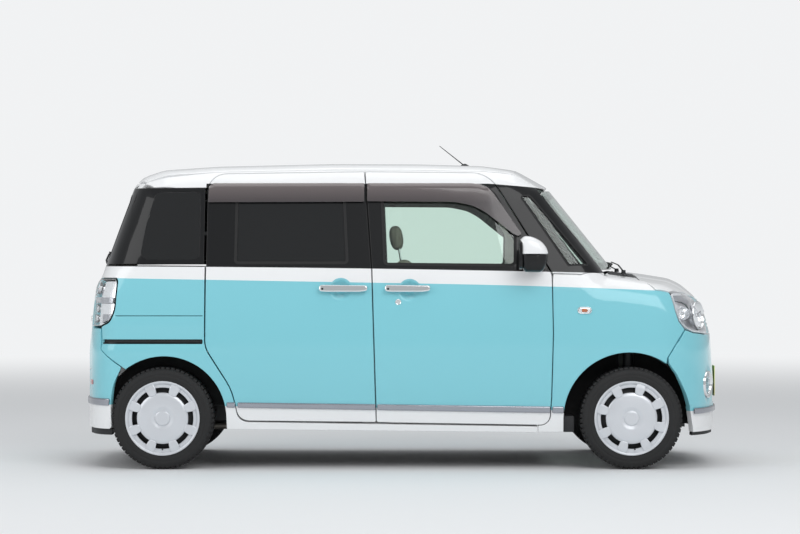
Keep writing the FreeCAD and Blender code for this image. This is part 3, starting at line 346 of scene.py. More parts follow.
def outline(corners, step=0.012):
    """A closed outline from corners (u, v, radius), each rounded to its radius."""
    points = []
    count = len(corners)
    for index, (u, v, radius) in enumerate(corners):
        here = np.array([u, v])
        before = np.array(corners[index - 1][:2]) - here
        after = np.array(corners[(index + 1) % count][:2]) - here
        length_before, length_after = np.linalg.norm(before), np.linalg.norm(after)
        before, after = before / length_before, after / length_after
        turn = math.pi - math.acos(np.clip(before @ after, -1, 1))
        if radius <= 0 or turn < 0.01:
            points.append(here)
            continue
        back = min(max(radius, 0.006) * math.tan(turn / 2), 0.49 * min(length_before, length_after))
        used = back / math.tan(turn / 2)
        bisector = (before + after) / np.linalg.norm(before + after)
        centre = here + bisector * (used / math.cos(turn / 2))
        first, last = here + before * back, here + after * back
        spans = max(3, int(math.ceil(turn / 0.16)))
        a0 = math.atan2(*(first - centre)[::-1])
        a1 = math.atan2(*(last - centre)[::-1])
        sweep = (a1 - a0 + math.pi) % (2 * math.pi) - math.pi
        for part in range(spans + 1):
            angle = a0 + sweep * part / spans
            points.append(centre + used * np.array([math.cos(angle), math.sin(angle)]))
    points = np.array(points)
    closed = []
    for a, b in zip(points, np.roll(points, -1, 0)):
        pieces = max(1, int(math.ceil(np.linalg.norm(b - a) / step)))
        for part in range(pieces):
            closed.append(a + (b - a) * part / pieces)
    closed = np.array(closed)
    keep = np.linalg.norm(closed - np.roll(closed, 1, 0), axis=1) > 1e-6
    return closed[keep]


def oblong(left, right, foot, top, radius, step=0.012):
    """The outline of an upright rectangle with rounded corners."""
    corners = ((left, foot), (right, foot), (right, top), (left, top))
    return outline([(u, v, radius) for u, v in corners], step)


def both_halves(half):
    """A half outline's corners (u, v, radius), with their mirror image in the middle line u = 0."""
    rest = half[:-1] if half[-1][0] == 0 else half
    return half + [(-u, v, radius) for u, v, radius in rest[::-1] if u != 0]


def area_of(loop):
    """A closed loop's area, positive where it runs counter-clockwise."""
    x, y = loop[:, 0], loop[:, 1]
    return 0.5 * np.sum(x * np.roll(y, -1) - np.roll(x, -1) * y)


def inset(loop, distance):
    """The loop moved to its left by a distance at each point."""
    ahead = np.roll(loop, -1, 0) - loop
    ahead /= np.linalg.norm(ahead, axis=1)[:, None]
    behind = np.roll(ahead, 1, 0)
    left = np.stack([-ahead[:, 1], ahead[:, 0]], 1) + np.stack([-behind[:, 1], behind[:, 0]], 1)
    scale = np.maximum(np.sum(left * left, axis=1) / 2, 0.35)
    return loop + left * (distance / scale)[:, None]


def shrunk(loop, distance):
    """The loop, counter-clockwise, moved inwards by a distance or outwards if it is negative,
    without the points that would fold over at tight corners."""
    loop = loop if area_of(loop) > 0 else loop[::-1]
    moved = inset(loop, distance)
    ahead = np.roll(loop, -1, 0) - loop
    t = np.sum((moved[:, None] - loop[None]) * ahead[None], axis=2) / np.sum(ahead * ahead, axis=1)[None]
    nearest = loop[None] + np.clip(t, 0, 1)[..., None] * ahead[None]
    gaps = np.linalg.norm(moved[:, None] - nearest, axis=2).min(1)
    moved = moved[gaps > abs(distance) - 0.0003]
    kept = [moved[0]]
    for point in moved[1:]:
        if np.linalg.norm(point - kept[-1]) > 0.003 and np.linalg.norm(point - moved[0]) > 0.003:
            kept.append(point)
    return np.array(kept)


def clear_of(points, loops, distance):
    """Which points lie further than a distance from all the loops' points."""
    keep = np.ones(len(points), bool)
    for loop in loops:
        for start in range(0, len(loop), 64):
            part = loop[start:start + 64]
            gaps = np.linalg.norm(points[:, None] - part[None], axis=2).min(1)
            keep &= gaps > distance
    return keep


def patch(place, loops, front=0.0, back=0.014, cell=0.024, roll=0.003, fine=(), dent=None):
    """A closed panel that follows the body's form: its outline, then any holes, in patch
    coordinates, with rolled edges. front and back are depths below the body's form.
    fine lists (u, v, radius, spacing) where more points are needed for a dent."""
    turned = [loop if (area_of(loop) > 0) == (index == 0) else loop[::-1]
              for index, loop in enumerate(loops)]
    inner = [inset(loop, roll) for loop in turned]
    low_corner, high_corner = inner[0].min(0), inner[0].max(0)
    us = np.arange(low_corner[0] + cell / 2, high_corner[0], cell)
    vs = np.arange(low_corner[1] + cell / 2, high_corner[1], cell)
    grid = np.stack(np.meshgrid(us, vs, indexing="ij"), -1).reshape(-1, 2)
    for u, v, radius, spacing in fine:
        grid = grid[np.hypot(grid[:, 0] - u, grid[:, 1] - v) > radius]
        steps = np.arange(-radius, radius, spacing)
        extra = np.stack(np.meshgrid(steps, steps, indexing="ij"), -1).reshape(-1, 2)
        extra = extra[np.hypot(extra[:, 0], extra[:, 1]) < radius] + [u, v]
        grid = np.concatenate([grid, extra])
    grid = grid[within(grid, inner)]
    grid = grid[clear_of(grid, inner, min(cell * 0.45, 0.006))]
    rim = np.concatenate(inner)
    flat = np.concatenate([rim, grid])
    edges = []
    start = 0
    for loop in inner:
        edges += [(start + k, start + (k + 1) % len(loop)) for k in range(len(loop))]
        start += len(loop)
    verts, _, faces, _, _, _ = geometry.delaunay_2d_cdt([Vector(p) for p in flat], edges, [], 1, 1e-7)
    flat = np.array([v[:] for v in verts])
    if len(flat) != len(rim) + len(grid):
        raise RuntimeError(f"outline crosses itself near {flat[len(rim) + len(grid):].round(3).tolist()}")
    triangles = np.array(faces)
    middles = flat[triangles].mean(1)
    triangles = triangles[within(middles, inner)]
    corners = flat[triangles]
    a, b = corners[:, 1] - corners[:, 0], corners[:, 2] - corners[:, 0]
    flipped = a[:, 0] * b[:, 1] - a[:, 1] * b[:, 0] < 0
    triangles[flipped] = triangles[flipped][:, ::-1]
    points, normals = place(flat[:, 0], flat[:, 1])
    below = np.zeros(len(flat)) if dent is None else dent(flat[:, 0], flat[:, 1])
    total = [points - normals * (front + below)[:, None], points - normals * (back + below)[:, None]]
    face_list = [triangles, triangles[:, ::-1] + len(flat)]
    start = 0
    base = 2 * len(flat)
    for loop_true in turned:
        count = len(loop_true)
        rings = [np.arange(start, start + count)]
        steps = [(math.sin(a), front + roll * (1 - math.cos(a))) for a in np.radians((30, 60, 90))]
        steps.append((1.0, back))
        at_rim, at_rim_normals = place(loop_true[:, 0], loop_true[:, 1])
        in_points, in_normals = points[start:start + count], normals[start:start + count]
        drop = np.zeros(count) if dent is None else dent(loop_true[:, 0], loop_true[:, 1])
        for share, depth in steps:
            surface = in_points + (at_rim - in_points) * share
            direction = in_normals + (at_rim_normals - in_normals) * share
            total.append(surface - direction * (depth + drop)[:, None])
            rings.append(np.arange(base, base + count))
            base += count
        rings.append(np.arange(start, start + count) + len(flat))
        for outer_ring, next_ring in zip(rings, rings[1:]):
            face_list.append(np.stack([
                outer_ring, next_ring, np.roll(next_ring, -1), np.roll(outer_ring, -1)], 1)[:, ::-1])
        start += count
    return np.concatenate(total), face_list


def mirror_image(part):
    """The same part on the car's other side."""
    points, faces = part
    return points * [1, -1, 1], [face[:, ::-1] for face in faces]


def pair(*parts):
    """Parts of the right side, and the same ones on the left."""
    return [*parts, *(mirror_image(part) for part in parts)]


def on_side(side, *parts):
    """Parts of the right side as they are on either side."""
    return [mirror_image(part) for part in parts] if side == "left" else list(parts)


def joined(parts):
    """One part from several, each of points and groups of faces."""
    groups = []
    start = 0
    for part_points, part_groups in parts:
        groups += [np.asarray(group_of) + start for group_of in part_groups]
        start += len(part_points)
    return np.concatenate([part[0] for part in parts]), groups


def mesh_of(name, parts):
    """A mesh from parts, with doubled points joined."""
    points, groups = joined(parts)
    mesh = bpy.data.meshes.new(name)
    mesh.from_pydata(points.tolist(), [], [face for group_of in groups for face in group_of.tolist()])
    shell = bmesh.new()
    shell.from_mesh(mesh)
    bmesh.ops.remove_doubles(shell, verts=shell.verts, dist=1e-6)
    shell.to_mesh(mesh)
    shell.free()
    return mesh


def piece(name, parts, material, body="root", angle=35, replaced=None):
    """One object from parts, in a material, riding on a body."""
    mesh = mesh_of(name, parts)
    mesh.shade_smooth()
    mesh.set_sharp_from_angle(angle=math.radians(angle))
    mesh.materials.append(material)
    item = bpy.data.objects.new(name, mesh)
    scene.collection.objects.link(item)
    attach(item, body)
    if replaced:
        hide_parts(replaced)
    return item


# ---- Paint ----
# Two-tone enamel under clear lacquer: white roof, glossy black around the windows, a
# white band below them, turquoise flanks, and white again below the side strip.


def srgb(red, green, blue):
    """A colour given as it looks on a screen, 0 to 255, in the shader's linear values."""
    return tuple(((c / 255 + 0.055) / 1.055) ** 2.4 if c > 10 else c / 3294 for c in (red, green, blue))


TURQUOISE = srgb(130, 204, 216)
WHITE = srgb(238, 239, 240)
BLACK = srgb(14, 15, 17)
HANDLE_CUPS = {"door_front": (0.034, 0.938), "door_slide": (-0.327, 0.943)}
CUP_RADIUS = 0.06


def group(name, inputs, outputs):
    """An empty shader node group with named numbers going in and coming out."""
    tree = bpy.data.node_groups.new(name, "ShaderNodeTree")
    for labels, direction in ((inputs, "INPUT"), (outputs, "OUTPUT")):
        for label in labels:
            tree.interface.new_socket(name=label, in_out=direction, socket_type="NodeSocketFloat")
    return tree, tree.nodes.new("NodeGroupInput"), tree.nodes.new("NodeGroupOutput")


def maths(tree, operation, *values):
    """A Math node fed by sockets or plain numbers; gives its output."""
    node = tree.nodes.new("ShaderNodeMath")
    node.operation = operation
    for index, value in enumerate(values):
        if isinstance(value, (int, float)):
            node.inputs[index].default_value = value
        else:
            tree.links.new(value, node.inputs[index])
    return node.outputs[0]


def place_in(tree):
    """The three coordinates of a point of the piece."""
    where = tree.nodes.new("ShaderNodeTexCoord")
    axes = tree.nodes.new("ShaderNodeSeparateXYZ")
    tree.links.new(where.outputs["Object"], axes.inputs[0])
    return axes.outputs


def noise_in(tree):
    """A noise texture that keeps to its place in the piece."""
    where = tree.nodes.new("ShaderNodeTexCoord")
    noise = tree.nodes.new("ShaderNodeTexNoise")
    tree.links.new(where.outputs["Object"], noise.inputs["Vector"])
    return noise


grain, grain_in, grain_out = group("surface_grain", ["Scale", "Detail"], ["Height"])
grain_noise = noise_in(grain)
for label in ("Scale", "Detail"):
    grain.links.new(grain_in.outputs[label], grain_noise.inputs[label])
grain.links.new(grain_noise.outputs["Fac"], grain_out.inputs["Height"])


def grain_of(tree, scale, detail=3.0):
    """The grain group placed in a material; gives its height."""
    node = tree.nodes.new("ShaderNodeGroup")
    node.node_tree = grain
    node.inputs["Scale"].default_value = scale
    node.inputs["Detail"].default_value = detail
    return node.outputs["Height"]


def raised(material, height, strength, distance, target="Normal"):
    """The material with its surface, or its lacquer's, raised by a height."""
    tree = material.node_tree
    bump = tree.nodes.new("ShaderNodeBump")
    bump.inputs["Strength"].default_value = strength
    bump.inputs["Distance"].default_value = distance
    tree.links.new(height, bump.inputs["Height"])
    tree.links.new(bump.outputs["Normal"], tree.nodes["Principled BSDF"].inputs[target])
    return material


def grained(material, scale, strength, distance, detail=3.0):
    """The material with grain in its surface."""
    return raised(material, grain_of(material.node_tree, scale, detail), strength, distance)


def mixed(tree, factor, first, second):
    """A colour between two; the first may be a socket."""
    mix = tree.nodes.new("ShaderNodeMix")
    mix.data_type = "RGBA"
    tree.links.new(factor, mix.inputs["Factor"])
    if isinstance(first, tuple):
        mix.inputs["A"].default_value = (*first, 1)
    else:
        tree.links.new(first, mix.inputs["A"])
    mix.inputs["B"].default_value = (*second, 1)
    return mix.outputs["Result"]


bands, _, band_out = group("paint_bands", [], ["Upper white", "Window black", "Flank"])
band = functools.partial(maths, bands)
along, _, height = place_in(bands)
square = band("MULTIPLY", along, along)
belt = band("MULTIPLY_ADD", along, -0.0155, band("MULTIPLY_ADD", square, -0.004, 1.0489))
forward = band("MAXIMUM", band("SUBTRACT", along, 0.2), 0.0)
drop = band("MULTIPLY", band("MULTIPLY", forward, forward), -0.012)
flank_top = band("ADD", band("MULTIPLY_ADD", along, -0.0175, 0.9751), drop)
flank_low = band("MULTIPLY_ADD", along, -0.0125, 0.32)
roof_edge = band("MULTIPLY_ADD", band("MAXIMUM", band("SUBTRACT", along, 0.45), 0.0), -0.08, 1.501)
roof_edge = band("MULTIPLY_ADD", band("LESS_THAN", along, -1.041), -0.023, roof_edge)
over_belt = band("GREATER_THAN", height, belt)
over_roof = band("GREATER_THAN", height, roof_edge)
bands.links.new(over_roof, band_out.inputs["Upper white"])
bands.links.new(band("SUBTRACT", over_belt, over_roof), band_out.inputs["Window black"])
flank = band("MULTIPLY", band("LESS_THAN", height, flank_top), band("GREATER_THAN", height, flank_low))
for cup_x, cup_z in HANDLE_CUPS.values():
    off = band("SUBTRACT", along, cup_x)
    rise = band("SUBTRACT", height, cup_z)
    out = band("ADD", band("MULTIPLY", off, off), band("MULTIPLY", rise, rise))
    flank = band("MAXIMUM", flank, band("LESS_THAN", out, CUP_RADIUS ** 2))
bands.links.new(flank, band_out.inputs["Flank"])


def enamel(name, colour=None):
    """Lacquered paint in one colour, or in the body's bands if no colour is given."""
    material = finish_with(name, colour or WHITE, 0.32, Coat_Weight=1.0, Coat_Roughness=0.04,
                           Specular_IOR_Level=0.15)
    tree = material.node_tree
    shader = tree.nodes["Principled BSDF"]
    if colour is None:
        masks = tree.nodes.new("ShaderNodeGroup")
        masks.node_tree = bands
        sides = mixed(tree, masks.outputs["Flank"], WHITE, TURQUOISE)
        whole = mixed(tree, masks.outputs["Window black"], sides, BLACK)
        tree.links.new(whole, shader.inputs["Base Color"])
        coat = maths(tree, "MULTIPLY_ADD", masks.outputs["Window black"], -0.5, 1.0)
        tree.links.new(coat, shader.inputs["Coat Weight"])
    ripple = noise_in(tree)
    ripple.inputs["Scale"].default_value = 420.0
    ripple.inputs["Detail"].default_value = 2.0
    return raised(material, ripple.outputs["Fac"], 0.04, 0.001, "Coat Normal")


body_paint = enamel("two_tone_enamel")
white_paint = enamel("white_enamel", WHITE)
black_gloss = enamel("black_gloss", BLACK)
black_gloss.node_tree.nodes["Principled BSDF"].inputs["Coat Weight"].default_value = 0.5
black_plastic = grained(finish_with("black_plastic", srgb(32, 33, 35), 0.62), 900.0, 0.25, 0.0006)
rubber = finish_with("rubber", srgb(22, 22, 23), 0.7)
chrome = finish_with("chrome", (0.86, 0.87, 0.88), 0.08, 1.0)
trim_plastic = grained(finish_with("interior_trim", srgb(196, 192, 184), 0.7), 700.0, 0.2, 0.0006)

# ---- Tyres ----
# Black rubber tyres on steel rims: a bulged side wall with raised rings, and a tread of
# separate blocks round the crown, cut through by three grooves.


def moulded(name, colour, roughness, scale=700.0, bump=0.25, depth=0.0006, shade=0.12, metallic=0.0, **extra):
    """A material whose tone, gloss and surface vary with a fine grain and broad smudges."""
    material = finish_with(name, colour, roughness, metallic, **extra)
    tree = material.node_tree
    shader = tree.nodes["Principled BSDF"]
    smudge = grain_of(tree, 9.0, 5.0)
    darker = tuple(c * (1 - shade) for c in colour)
    lighter = tuple(min(1.0, c * (1 + shade)) for c in colour)
    tree.links.new(mixed(tree, smudge, darker, lighter), shader.inputs["Base Color"])
    tree.links.new(maths(tree, "MULTIPLY_ADD", smudge, 0.24, roughness - 0.12), shader.inputs["Roughness"])
    return grained(material, scale, bump, depth)


def sleeve(rows, count, closed=False):
    """The four-sided faces between rows of points, each row a closed ring."""
    row = np.arange(rows if closed else rows - 1)[:, None] * count
    step = np.arange(count)[None]
    after = (row + count) % (rows * count)
    ahead = (step + 1) % count
    return np.stack([row + step, row + ahead, after + ahead, after + step], -1).reshape(-1, 4)


def turned(profile, spans=72):
    """A solid turned about the Y axis from a closed half section of (outward, radius);
    outward is towards -Y, which is away from the car on its right side."""
    profile = np.array(profile, float)
    count = len(profile)
    angles = np.arange(spans)[:, None] * 2 * math.pi / spans
    points = np.stack([profile[:, 1] * np.cos(angles), np.tile(-profile[:, 0], (spans, 1)),
                       profile[:, 1] * np.sin(angles)], -1).reshape(-1, 3)
    faces = sleeve(spans, count, True)
    return points, [faces[:, ::-1] if area_of(profile) < 0 else faces]


def moved(part, matrix):
    """The part after a 4x4 transform."""
    grid = np.array(matrix)
    points = part[0] @ grid[:3, :3].T + grid[:3, 3]
    flip = np.linalg.det(grid[:3, :3]) < 0
    return points, [np.asarray(face)[:, ::-1] if flip else face for face in part[1]]


def at_place(x, y, z):
    """The transform that only moves a part to a place."""
    return Matrix.Translation((x, y, z))


def points_of(mesh):
    """A mesh's points as rows of three."""
    points = np.empty(len(mesh.vertices) * 3)
    mesh.vertices.foreach_get("co", points)
    return points.reshape(-1, 3)


def part_of(mesh):
    """A mesh's points and faces as a part."""
    sizes = {}
    for face in mesh.polygons:
        sizes.setdefault(len(face.vertices), []).append(face.vertices[:])
    return points_of(mesh), [np.array(group_of) for group_of in sizes.values()]


def block(size, round_off, centre=(0, 0, 0), spans=2):
    """A box with rounded edges."""
    shell = bmesh.new()
    bmesh.ops.create_cube(shell, size=1.0)
    bmesh.ops.scale(shell, vec=size, verts=shell.verts)
    bmesh.ops.bevel(shell, geom=shell.edges[:] + shell.verts[:], offset=round_off, segments=spans,
                    affect="EDGES", profile=0.5)
    bmesh.ops.translate(shell, vec=centre, verts=shell.verts)
    mesh = bpy.data.meshes.new("block")
    shell.to_mesh(mesh)
    shell.free()
    part = part_of(mesh)
    bpy.data.meshes.remove(mesh)
    return part


def tube(path, radius, sides=10, closed=False, flat=1.0, up=(0, 0, 1)):
    """A round bar along a path, with domed ends unless it is closed into a ring; flat is
    its thickness along the given direction compared with its width."""
    path = np.array(path, float)
    ahead = np.roll(path, -1, 0) - np.roll(path, 1, 0)
    if not closed:
        ahead[0], ahead[-1] = path[1] - path[0], path[-1] - path[-2]
    ahead /= np.linalg.norm(ahead, axis=1)[:, None]
    lift = np.array(up, float) - ahead * (ahead @ np.array(up, float))[:, None]
    lift /= np.linalg.norm(lift, axis=1)[:, None]
    across = np.cross(ahead, lift)
    radii = np.broadcast_to(radius, len(path))
    rows = [(point, wide, a, b) for point, wide, a, b in zip(path, radii, across, lift)]
    if not closed:
        start = [(path[0] - ahead[0] * radii[0] * math.sin(t), radii[0] * math.cos(t), across[0], lift[0])
                 for t in np.radians((88, 60, 30))]
        end = [(path[-1] + ahead[-1] * radii[-1] * math.sin(t), radii[-1] * math.cos(t), across[-1], lift[-1])
               for t in np.radians((30, 60, 88))]
        rows = start + rows + end
    turn = np.arange(sides)[:, None] * 2 * math.pi / sides
    points = np.concatenate([point + wide * (np.cos(turn) * a + flat * np.sin(turn) * b)
                             for point, wide, a, b in rows])
    faces = [sleeve(len(rows), sides, closed)]
    if not closed:
        faces += [np.arange(sides)[None, ::-1], (np.arange(sides) + (len(rows) - 1) * sides)[None]]
    return points, faces


def made_real(item):
    """The object's mesh as its modifiers leave it."""
    bpy.context.view_layer.update()
    return bpy.data.meshes.new_from_object(item.evaluated_get(bpy.context.evaluated_depsgraph_get()))


def repeated(part, material, count, turn=0.0, step=(0, 0, 0), first=0.0):
    """The part repeated by Geometry Nodes: each copy turned on about the Y axis and moved on
    by a step from the one before."""
    tree = bpy.data.node_groups.new("repeated", "GeometryNodeTree")
    sockets = {"Part": "Geometry", "Material": "Material", "Count": "Int", "Turn": "Float", "First": "Float",
               "Step": "Vector"}
    for label, kind in sockets.items():
        tree.interface.new_socket(name=label, in_out="INPUT", socket_type=f"NodeSocket{kind}")
    tree.interface.new_socket(name="Part", in_out="OUTPUT", socket_type="NodeSocketGeometry")
    start, end, line, index, copies, real, coated, angle, turned_to_axis = (tree.nodes.new(kind) for kind in (
        "NodeGroupInput", "NodeGroupOutput", "GeometryNodeMeshLine", "GeometryNodeInputIndex",
        "GeometryNodeInstanceOnPoints", "GeometryNodeRealizeInstances", "GeometryNodeSetMaterial",
        "ShaderNodeMath", "ShaderNodeCombineXYZ"))
    angle.operation = "MULTIPLY_ADD"
    link = tree.links.new
    link(start.outputs["Count"], line.inputs["Count"])
    link(start.outputs["Step"], line.inputs["Offset"])
    link(index.outputs[0], angle.inputs[0])
    link(start.outputs["Turn"], angle.inputs[1])
    link(start.outputs["First"], angle.inputs[2])
    link(angle.outputs[0], turned_to_axis.inputs["Y"])
    link(line.outputs[0], copies.inputs["Points"])
    link(start.outputs["Part"], copies.inputs["Instance"])
    link(turned_to_axis.outputs[0], copies.inputs["Rotation"])
    link(copies.outputs[0], real.inputs[0])
    link(real.outputs[0], coated.inputs["Geometry"])
    link(start.outputs["Material"], coated.inputs["Material"])
    link(coated.outputs[0], end.inputs["Part"])
    item = bpy.data.objects.new("repeated", mesh_of("repeated", [part]))
    scene.collection.objects.link(item)
    modifier = item.modifiers.new("repeated", "NODES")
    modifier.node_group = tree
    values = {"Material": material, "Count": count, "Turn": math.radians(turn), "First": math.radians(first),
              "Step": step}
    for socket in tree.interface.items_tree:
        if socket.in_out == "INPUT" and socket.name in values:
            modifier[socket.identifier] = values[socket.name]
    item.update_tag()
    result = made_real(item)
    copied = part_of(result)
    bpy.data.objects.remove(item)
    bpy.data.meshes.remove(result)
    bpy.data.node_groups.remove(tree)
    return copied


AXLE_HALF, AXLE_HEIGHT = 0.65, 0.268
WHEELS = [(f"{end}_{side}", x, -1 if side == "right" else 1)
          for end, x in (("front", 1.195), ("rear", -1.26)) for side in ("right", "left")]


def at_wheel(x, side):
    """The transform from a wheel made at the origin, facing right, to its axle's end."""
    return at_place(x, side * AXLE_HALF, AXLE_HEIGHT) @ Matrix.Diagonal((1, -side, 1, 1))


tyre_side = [
    (0.0755, 0.196), (0.0765, 0.203), (0.0765, 0.206), (0.078, 0.214), (0.078, 0.222), (0.0772, 0.224),
    (0.0772, 0.228), (0.0778, 0.23), (0.0765, 0.24), (0.0725, 0.251), (0.067, 0.2575)]
crown_line = [(0.03, 0.26), (0.0, 0.2605), (-0.03, 0.26)]
carcass = tyre_side + crown_line + [(-out, radius) for out, radius in reversed(tyre_side)]
carcass += [(-0.07, 0.193), (0.07, 0.193)]
TREAD_COUNT = 62
tread = []
for low_edge, high_edge, lean, crown, tip in (
        (-0.066, -0.042, 0.0, 0.2652, 9), (-0.034, -0.005, 14, 0.2672, 0),
        (0.005, 0.034, -14, 0.2672, 0), (0.042, 0.066, 0.0, 0.2652, -9)):
    lug = block((0.0205, high_edge - low_edge, 0.01), 0.0012, spans=1)
    tilt = Matrix.Rotation(math.radians(tip), 4, "X") @ Matrix.Rotation(math.radians(lean), 4, "Z")
    tread.append(moved(lug, at_place(0, -(low_edge + high_edge) / 2, crown - 0.005) @ tilt))
tread += pair(block((0.01, 0.0025, 0.012), 0.0008, (0, -0.0715, 0.25), spans=1))
tyre_rubber = moulded("tyre_rubber", srgb(21, 21, 22), 0.66, 320.0, 0.35, 0.0008, 0.25)
tread_ring = repeated(joined(tread), tyre_rubber, TREAD_COUNT, 360 / TREAD_COUNT)

for name, x, side in WHEELS:
    spot = at_wheel(x, side)
    piece(f"tyre_detail_{name}", [moved(turned(carcass, 96), spot), moved(tread_ring, spot)], tyre_rubber,
          f"wheel_{name}", angle=28, replaced=f"tyre_{name}")

# ---- Wheels and covers ----
# Painted steel disc wheels behind moulded silver covers: a bright rim ring, eight open
# slots, eight raised pads between them, a broad domed centre and a plain centre cap.

SLOT_COUNT = 8
steel_dark = moulded("wheel_steel", srgb(40, 41, 43), 0.5, 500.0, 0.2, 0.0005, 0.2, 0.4)
cover_silver = moulded("cover_silver", srgb(212, 215, 220), 0.34, 1400.0, 0.06, 0.0003, 0.05, 0.35,
                       Coat_Weight=0.6, Coat_Roughness=0.12)
rim_section = [
    (0.0715, 0.1925), (0.0735, 0.1905), (0.0735, 0.187), (0.06, 0.183), (0.03, 0.17), (-0.05, 0.17),
    (-0.07, 0.186), (-0.072, 0.1925), (-0.06, 0.1915), (-0.04, 0.18), (0.02, 0.18), (0.055, 0.1915)]
disc_section = [
    (0.036, 0.172), (0.04, 0.14), (0.052, 0.11), (0.056, 0.07), (0.044, 0.06), (0.044, 0.0), (0.036, 0.0),
    (0.036, 0.06), (0.046, 0.072), (0.042, 0.108), (0.032, 0.138), (0.028, 0.172)]
ring_section = [
    (0.08, 0.195), (0.0815, 0.193), (0.0815, 0.188), (0.08, 0.185), (0.074, 0.18), (0.07, 0.176),
    (0.069, 0.162), (0.064, 0.16), (0.064, 0.164), (0.065, 0.178), (0.072, 0.19), (0.0755, 0.195)]
dome_section = [
    (0.062, 0.133), (0.068, 0.135), (0.0735, 0.133), (0.0765, 0.129), (0.079, 0.115), (0.0806, 0.09),
    (0.0812, 0.064), (0.0806, 0.056), (0.078, 0.05), (0.076, 0.04), (0.079, 0.0385), (0.0808, 0.036),
    (0.0814, 0.03), (0.0814, 0.0), (0.074, 0.0), (0.074, 0.056), (0.07, 0.1), (0.064, 0.128)]
pad_line = outline([
    (-0.0195, 0.126, 0.014), (0.0195, 0.126, 0.014), (0.026, 0.16, 0.03), (0.0235, 0.1855, 0.008),
    (-0.0235, 0.1855, 0.008), (-0.026, 0.16, 0.03)], 0.008)


def on_plane(origin, across, up):
    """Patch coordinates on a flat plane."""
    origin, across, up = np.array(origin), np.array(across), np.array(up)
    normal = np.cross(across, up)

    def place(u, v):
        points = origin + u[:, None] * across + v[:, None] * up
        return points, np.tile(normal, (len(u), 1))
    return place


def pad_dent(u, v):
    """The pads' fall towards the rim and towards the middle."""
    out = np.hypot(u, v)
    return 0.004 * ramp(out, 0.16, 0.186) + 0.0015 * ramp(0.15 - out, 0.0, 0.02)


COVER_FACE = on_plane((0, -0.0815, 0), (1.0, 0, 0), (0, 0, 1.0))
pad = patch(COVER_FACE, [pad_line], 0.0, 0.016, cell=0.009, roll=0.0035, dent=pad_dent)
web = patch(COVER_FACE, [oblong(-0.015, 0.015, 0.13, 0.168, 0.003, 0.01)], 0.013, 0.02, cell=0.02, roll=0.001)
pad_ring, web_ring = (repeated(part, cover_silver, SLOT_COUNT, 360 / SLOT_COUNT, first=180 / SLOT_COUNT)
                      for part in (pad, web))
valve = moved(tube([(0, 0, 0), (0, -0.018, 0.004), (0, -0.03, 0.006)], 0.0036, 10),
              at_place(0, -0.052, -0.168))
for name, x, side in WHEELS:
    spot = at_wheel(x, side) @ Matrix.Rotation(math.radians(-6 if name.startswith("front") else 0), 4, "Y")
    rim_parts = turned(rim_section, 96), turned(disc_section), valve
    cover_parts = turned(ring_section, 96), turned(dome_section, 96), pad_ring, web_ring
    piece(f"rim_{name}", [moved(part, spot) for part in rim_parts], steel_dark,
          f"wheel_{name}", angle=30, replaced=f"wheel_{name}")
    piece(f"wheel_cover_{name}", [moved(part, spot) for part in cover_parts], cover_silver,
          f"wheel_{name}", angle=32)

# ---- Roof ----
# The roof skin between the two rails, pressed from one sheet and joined to them in a
# narrow seam each side.

SEAM = 0.52
SIDE = from_side()
TOP = from_above()
rear_places = from_behind()(np.array([-0.5185, -0.44, -0.28, 0.0, 0.28, 0.44, 0.5185]), np.full(7, 1.508))[0]
rear_edge = [(point[0] + 0.004, point[1], 0.005 if abs(point[1]) > 0.5 else 0.3) for point in rear_places]
roof_line = outline([
    (0.716, -SEAM + 0.002, 0.02), (0.766, -0.3, 0.5), (0.795, 0.0, 1.0),
    (0.766, 0.3, 0.5), (0.716, SEAM - 0.002, 0.02), *rear_edge])
roof_skin = patch(TOP, [roof_line], 0.0, 0.03, cell=0.03)
piece("roof_skin", [roof_skin], body_paint, replaced="roof_panel")

# ---- Body sides ----
# One pressing a side: the rear quarter with its wheel arch, the sill below the doors,
# and the rail over them; behind it stand the pillars that the doors shut against.

front_door_line = outline([
    (-0.141, 0.244, 0.01), (0.7685, 0.228, 0.055), (0.7775, 0.38, 0.3), (0.786, 0.713, 0.5),
    (0.781, 1.027, 0.08), (0.545, 1.405, 0.6), (0.45, 1.562, 0.17), (-0.204, 1.568, 0.01),
    (-0.165, 1.044, 0.1)])
slide_door_line = outline([
    (-0.141, 0.244, 0.01), (-0.165, 1.044, 0.1), (-0.204, 1.568, 0.01), (-1.035, 1.556, 0.1),
    (-1.039, 0.64, 0.14), (-0.9, 0.42, 0.3), (-0.862, 0.252, 0.07)])
REAR_AXLE = (-1.252, AXLE_HEIGHT)
FRONT_AXLE = (1.185, AXLE_HEIGHT)
TAIL_WRAP = round_the(-1)


def arch_points(axle, radius, start, end, count=26):
    """Points round a wheel arch between two angles from the forward direction."""
    angles = np.radians(np.linspace(start, end, count))
    return [(axle[0] + radius * math.cos(a), axle[1] + radius * math.sin(a), 0.0) for a in angles]


def round_tail(corners):
    """Side-view corners (x, z, radius) as outline corners round the tail, on the right side."""
    trial = np.linspace(0.2, 3.9, 900)
    result = []
    for x, z, radius in corners:
        found, _ = TAIL_WRAP(trial, np.full(len(trial), z))
        on_it = np.abs(outside(found, "cabin")) < 0.002
        crossing = on_it[:-1] & on_it[1:] & (np.diff(found[:, 0] > x))
        k = int(np.argmax(crossing))
        share = (x - found[k, 0]) / (found[k + 1, 0] - found[k, 0])
        result.append((trial[k] + share * (trial[k + 1] - trial[k]), z, radius))
    return result


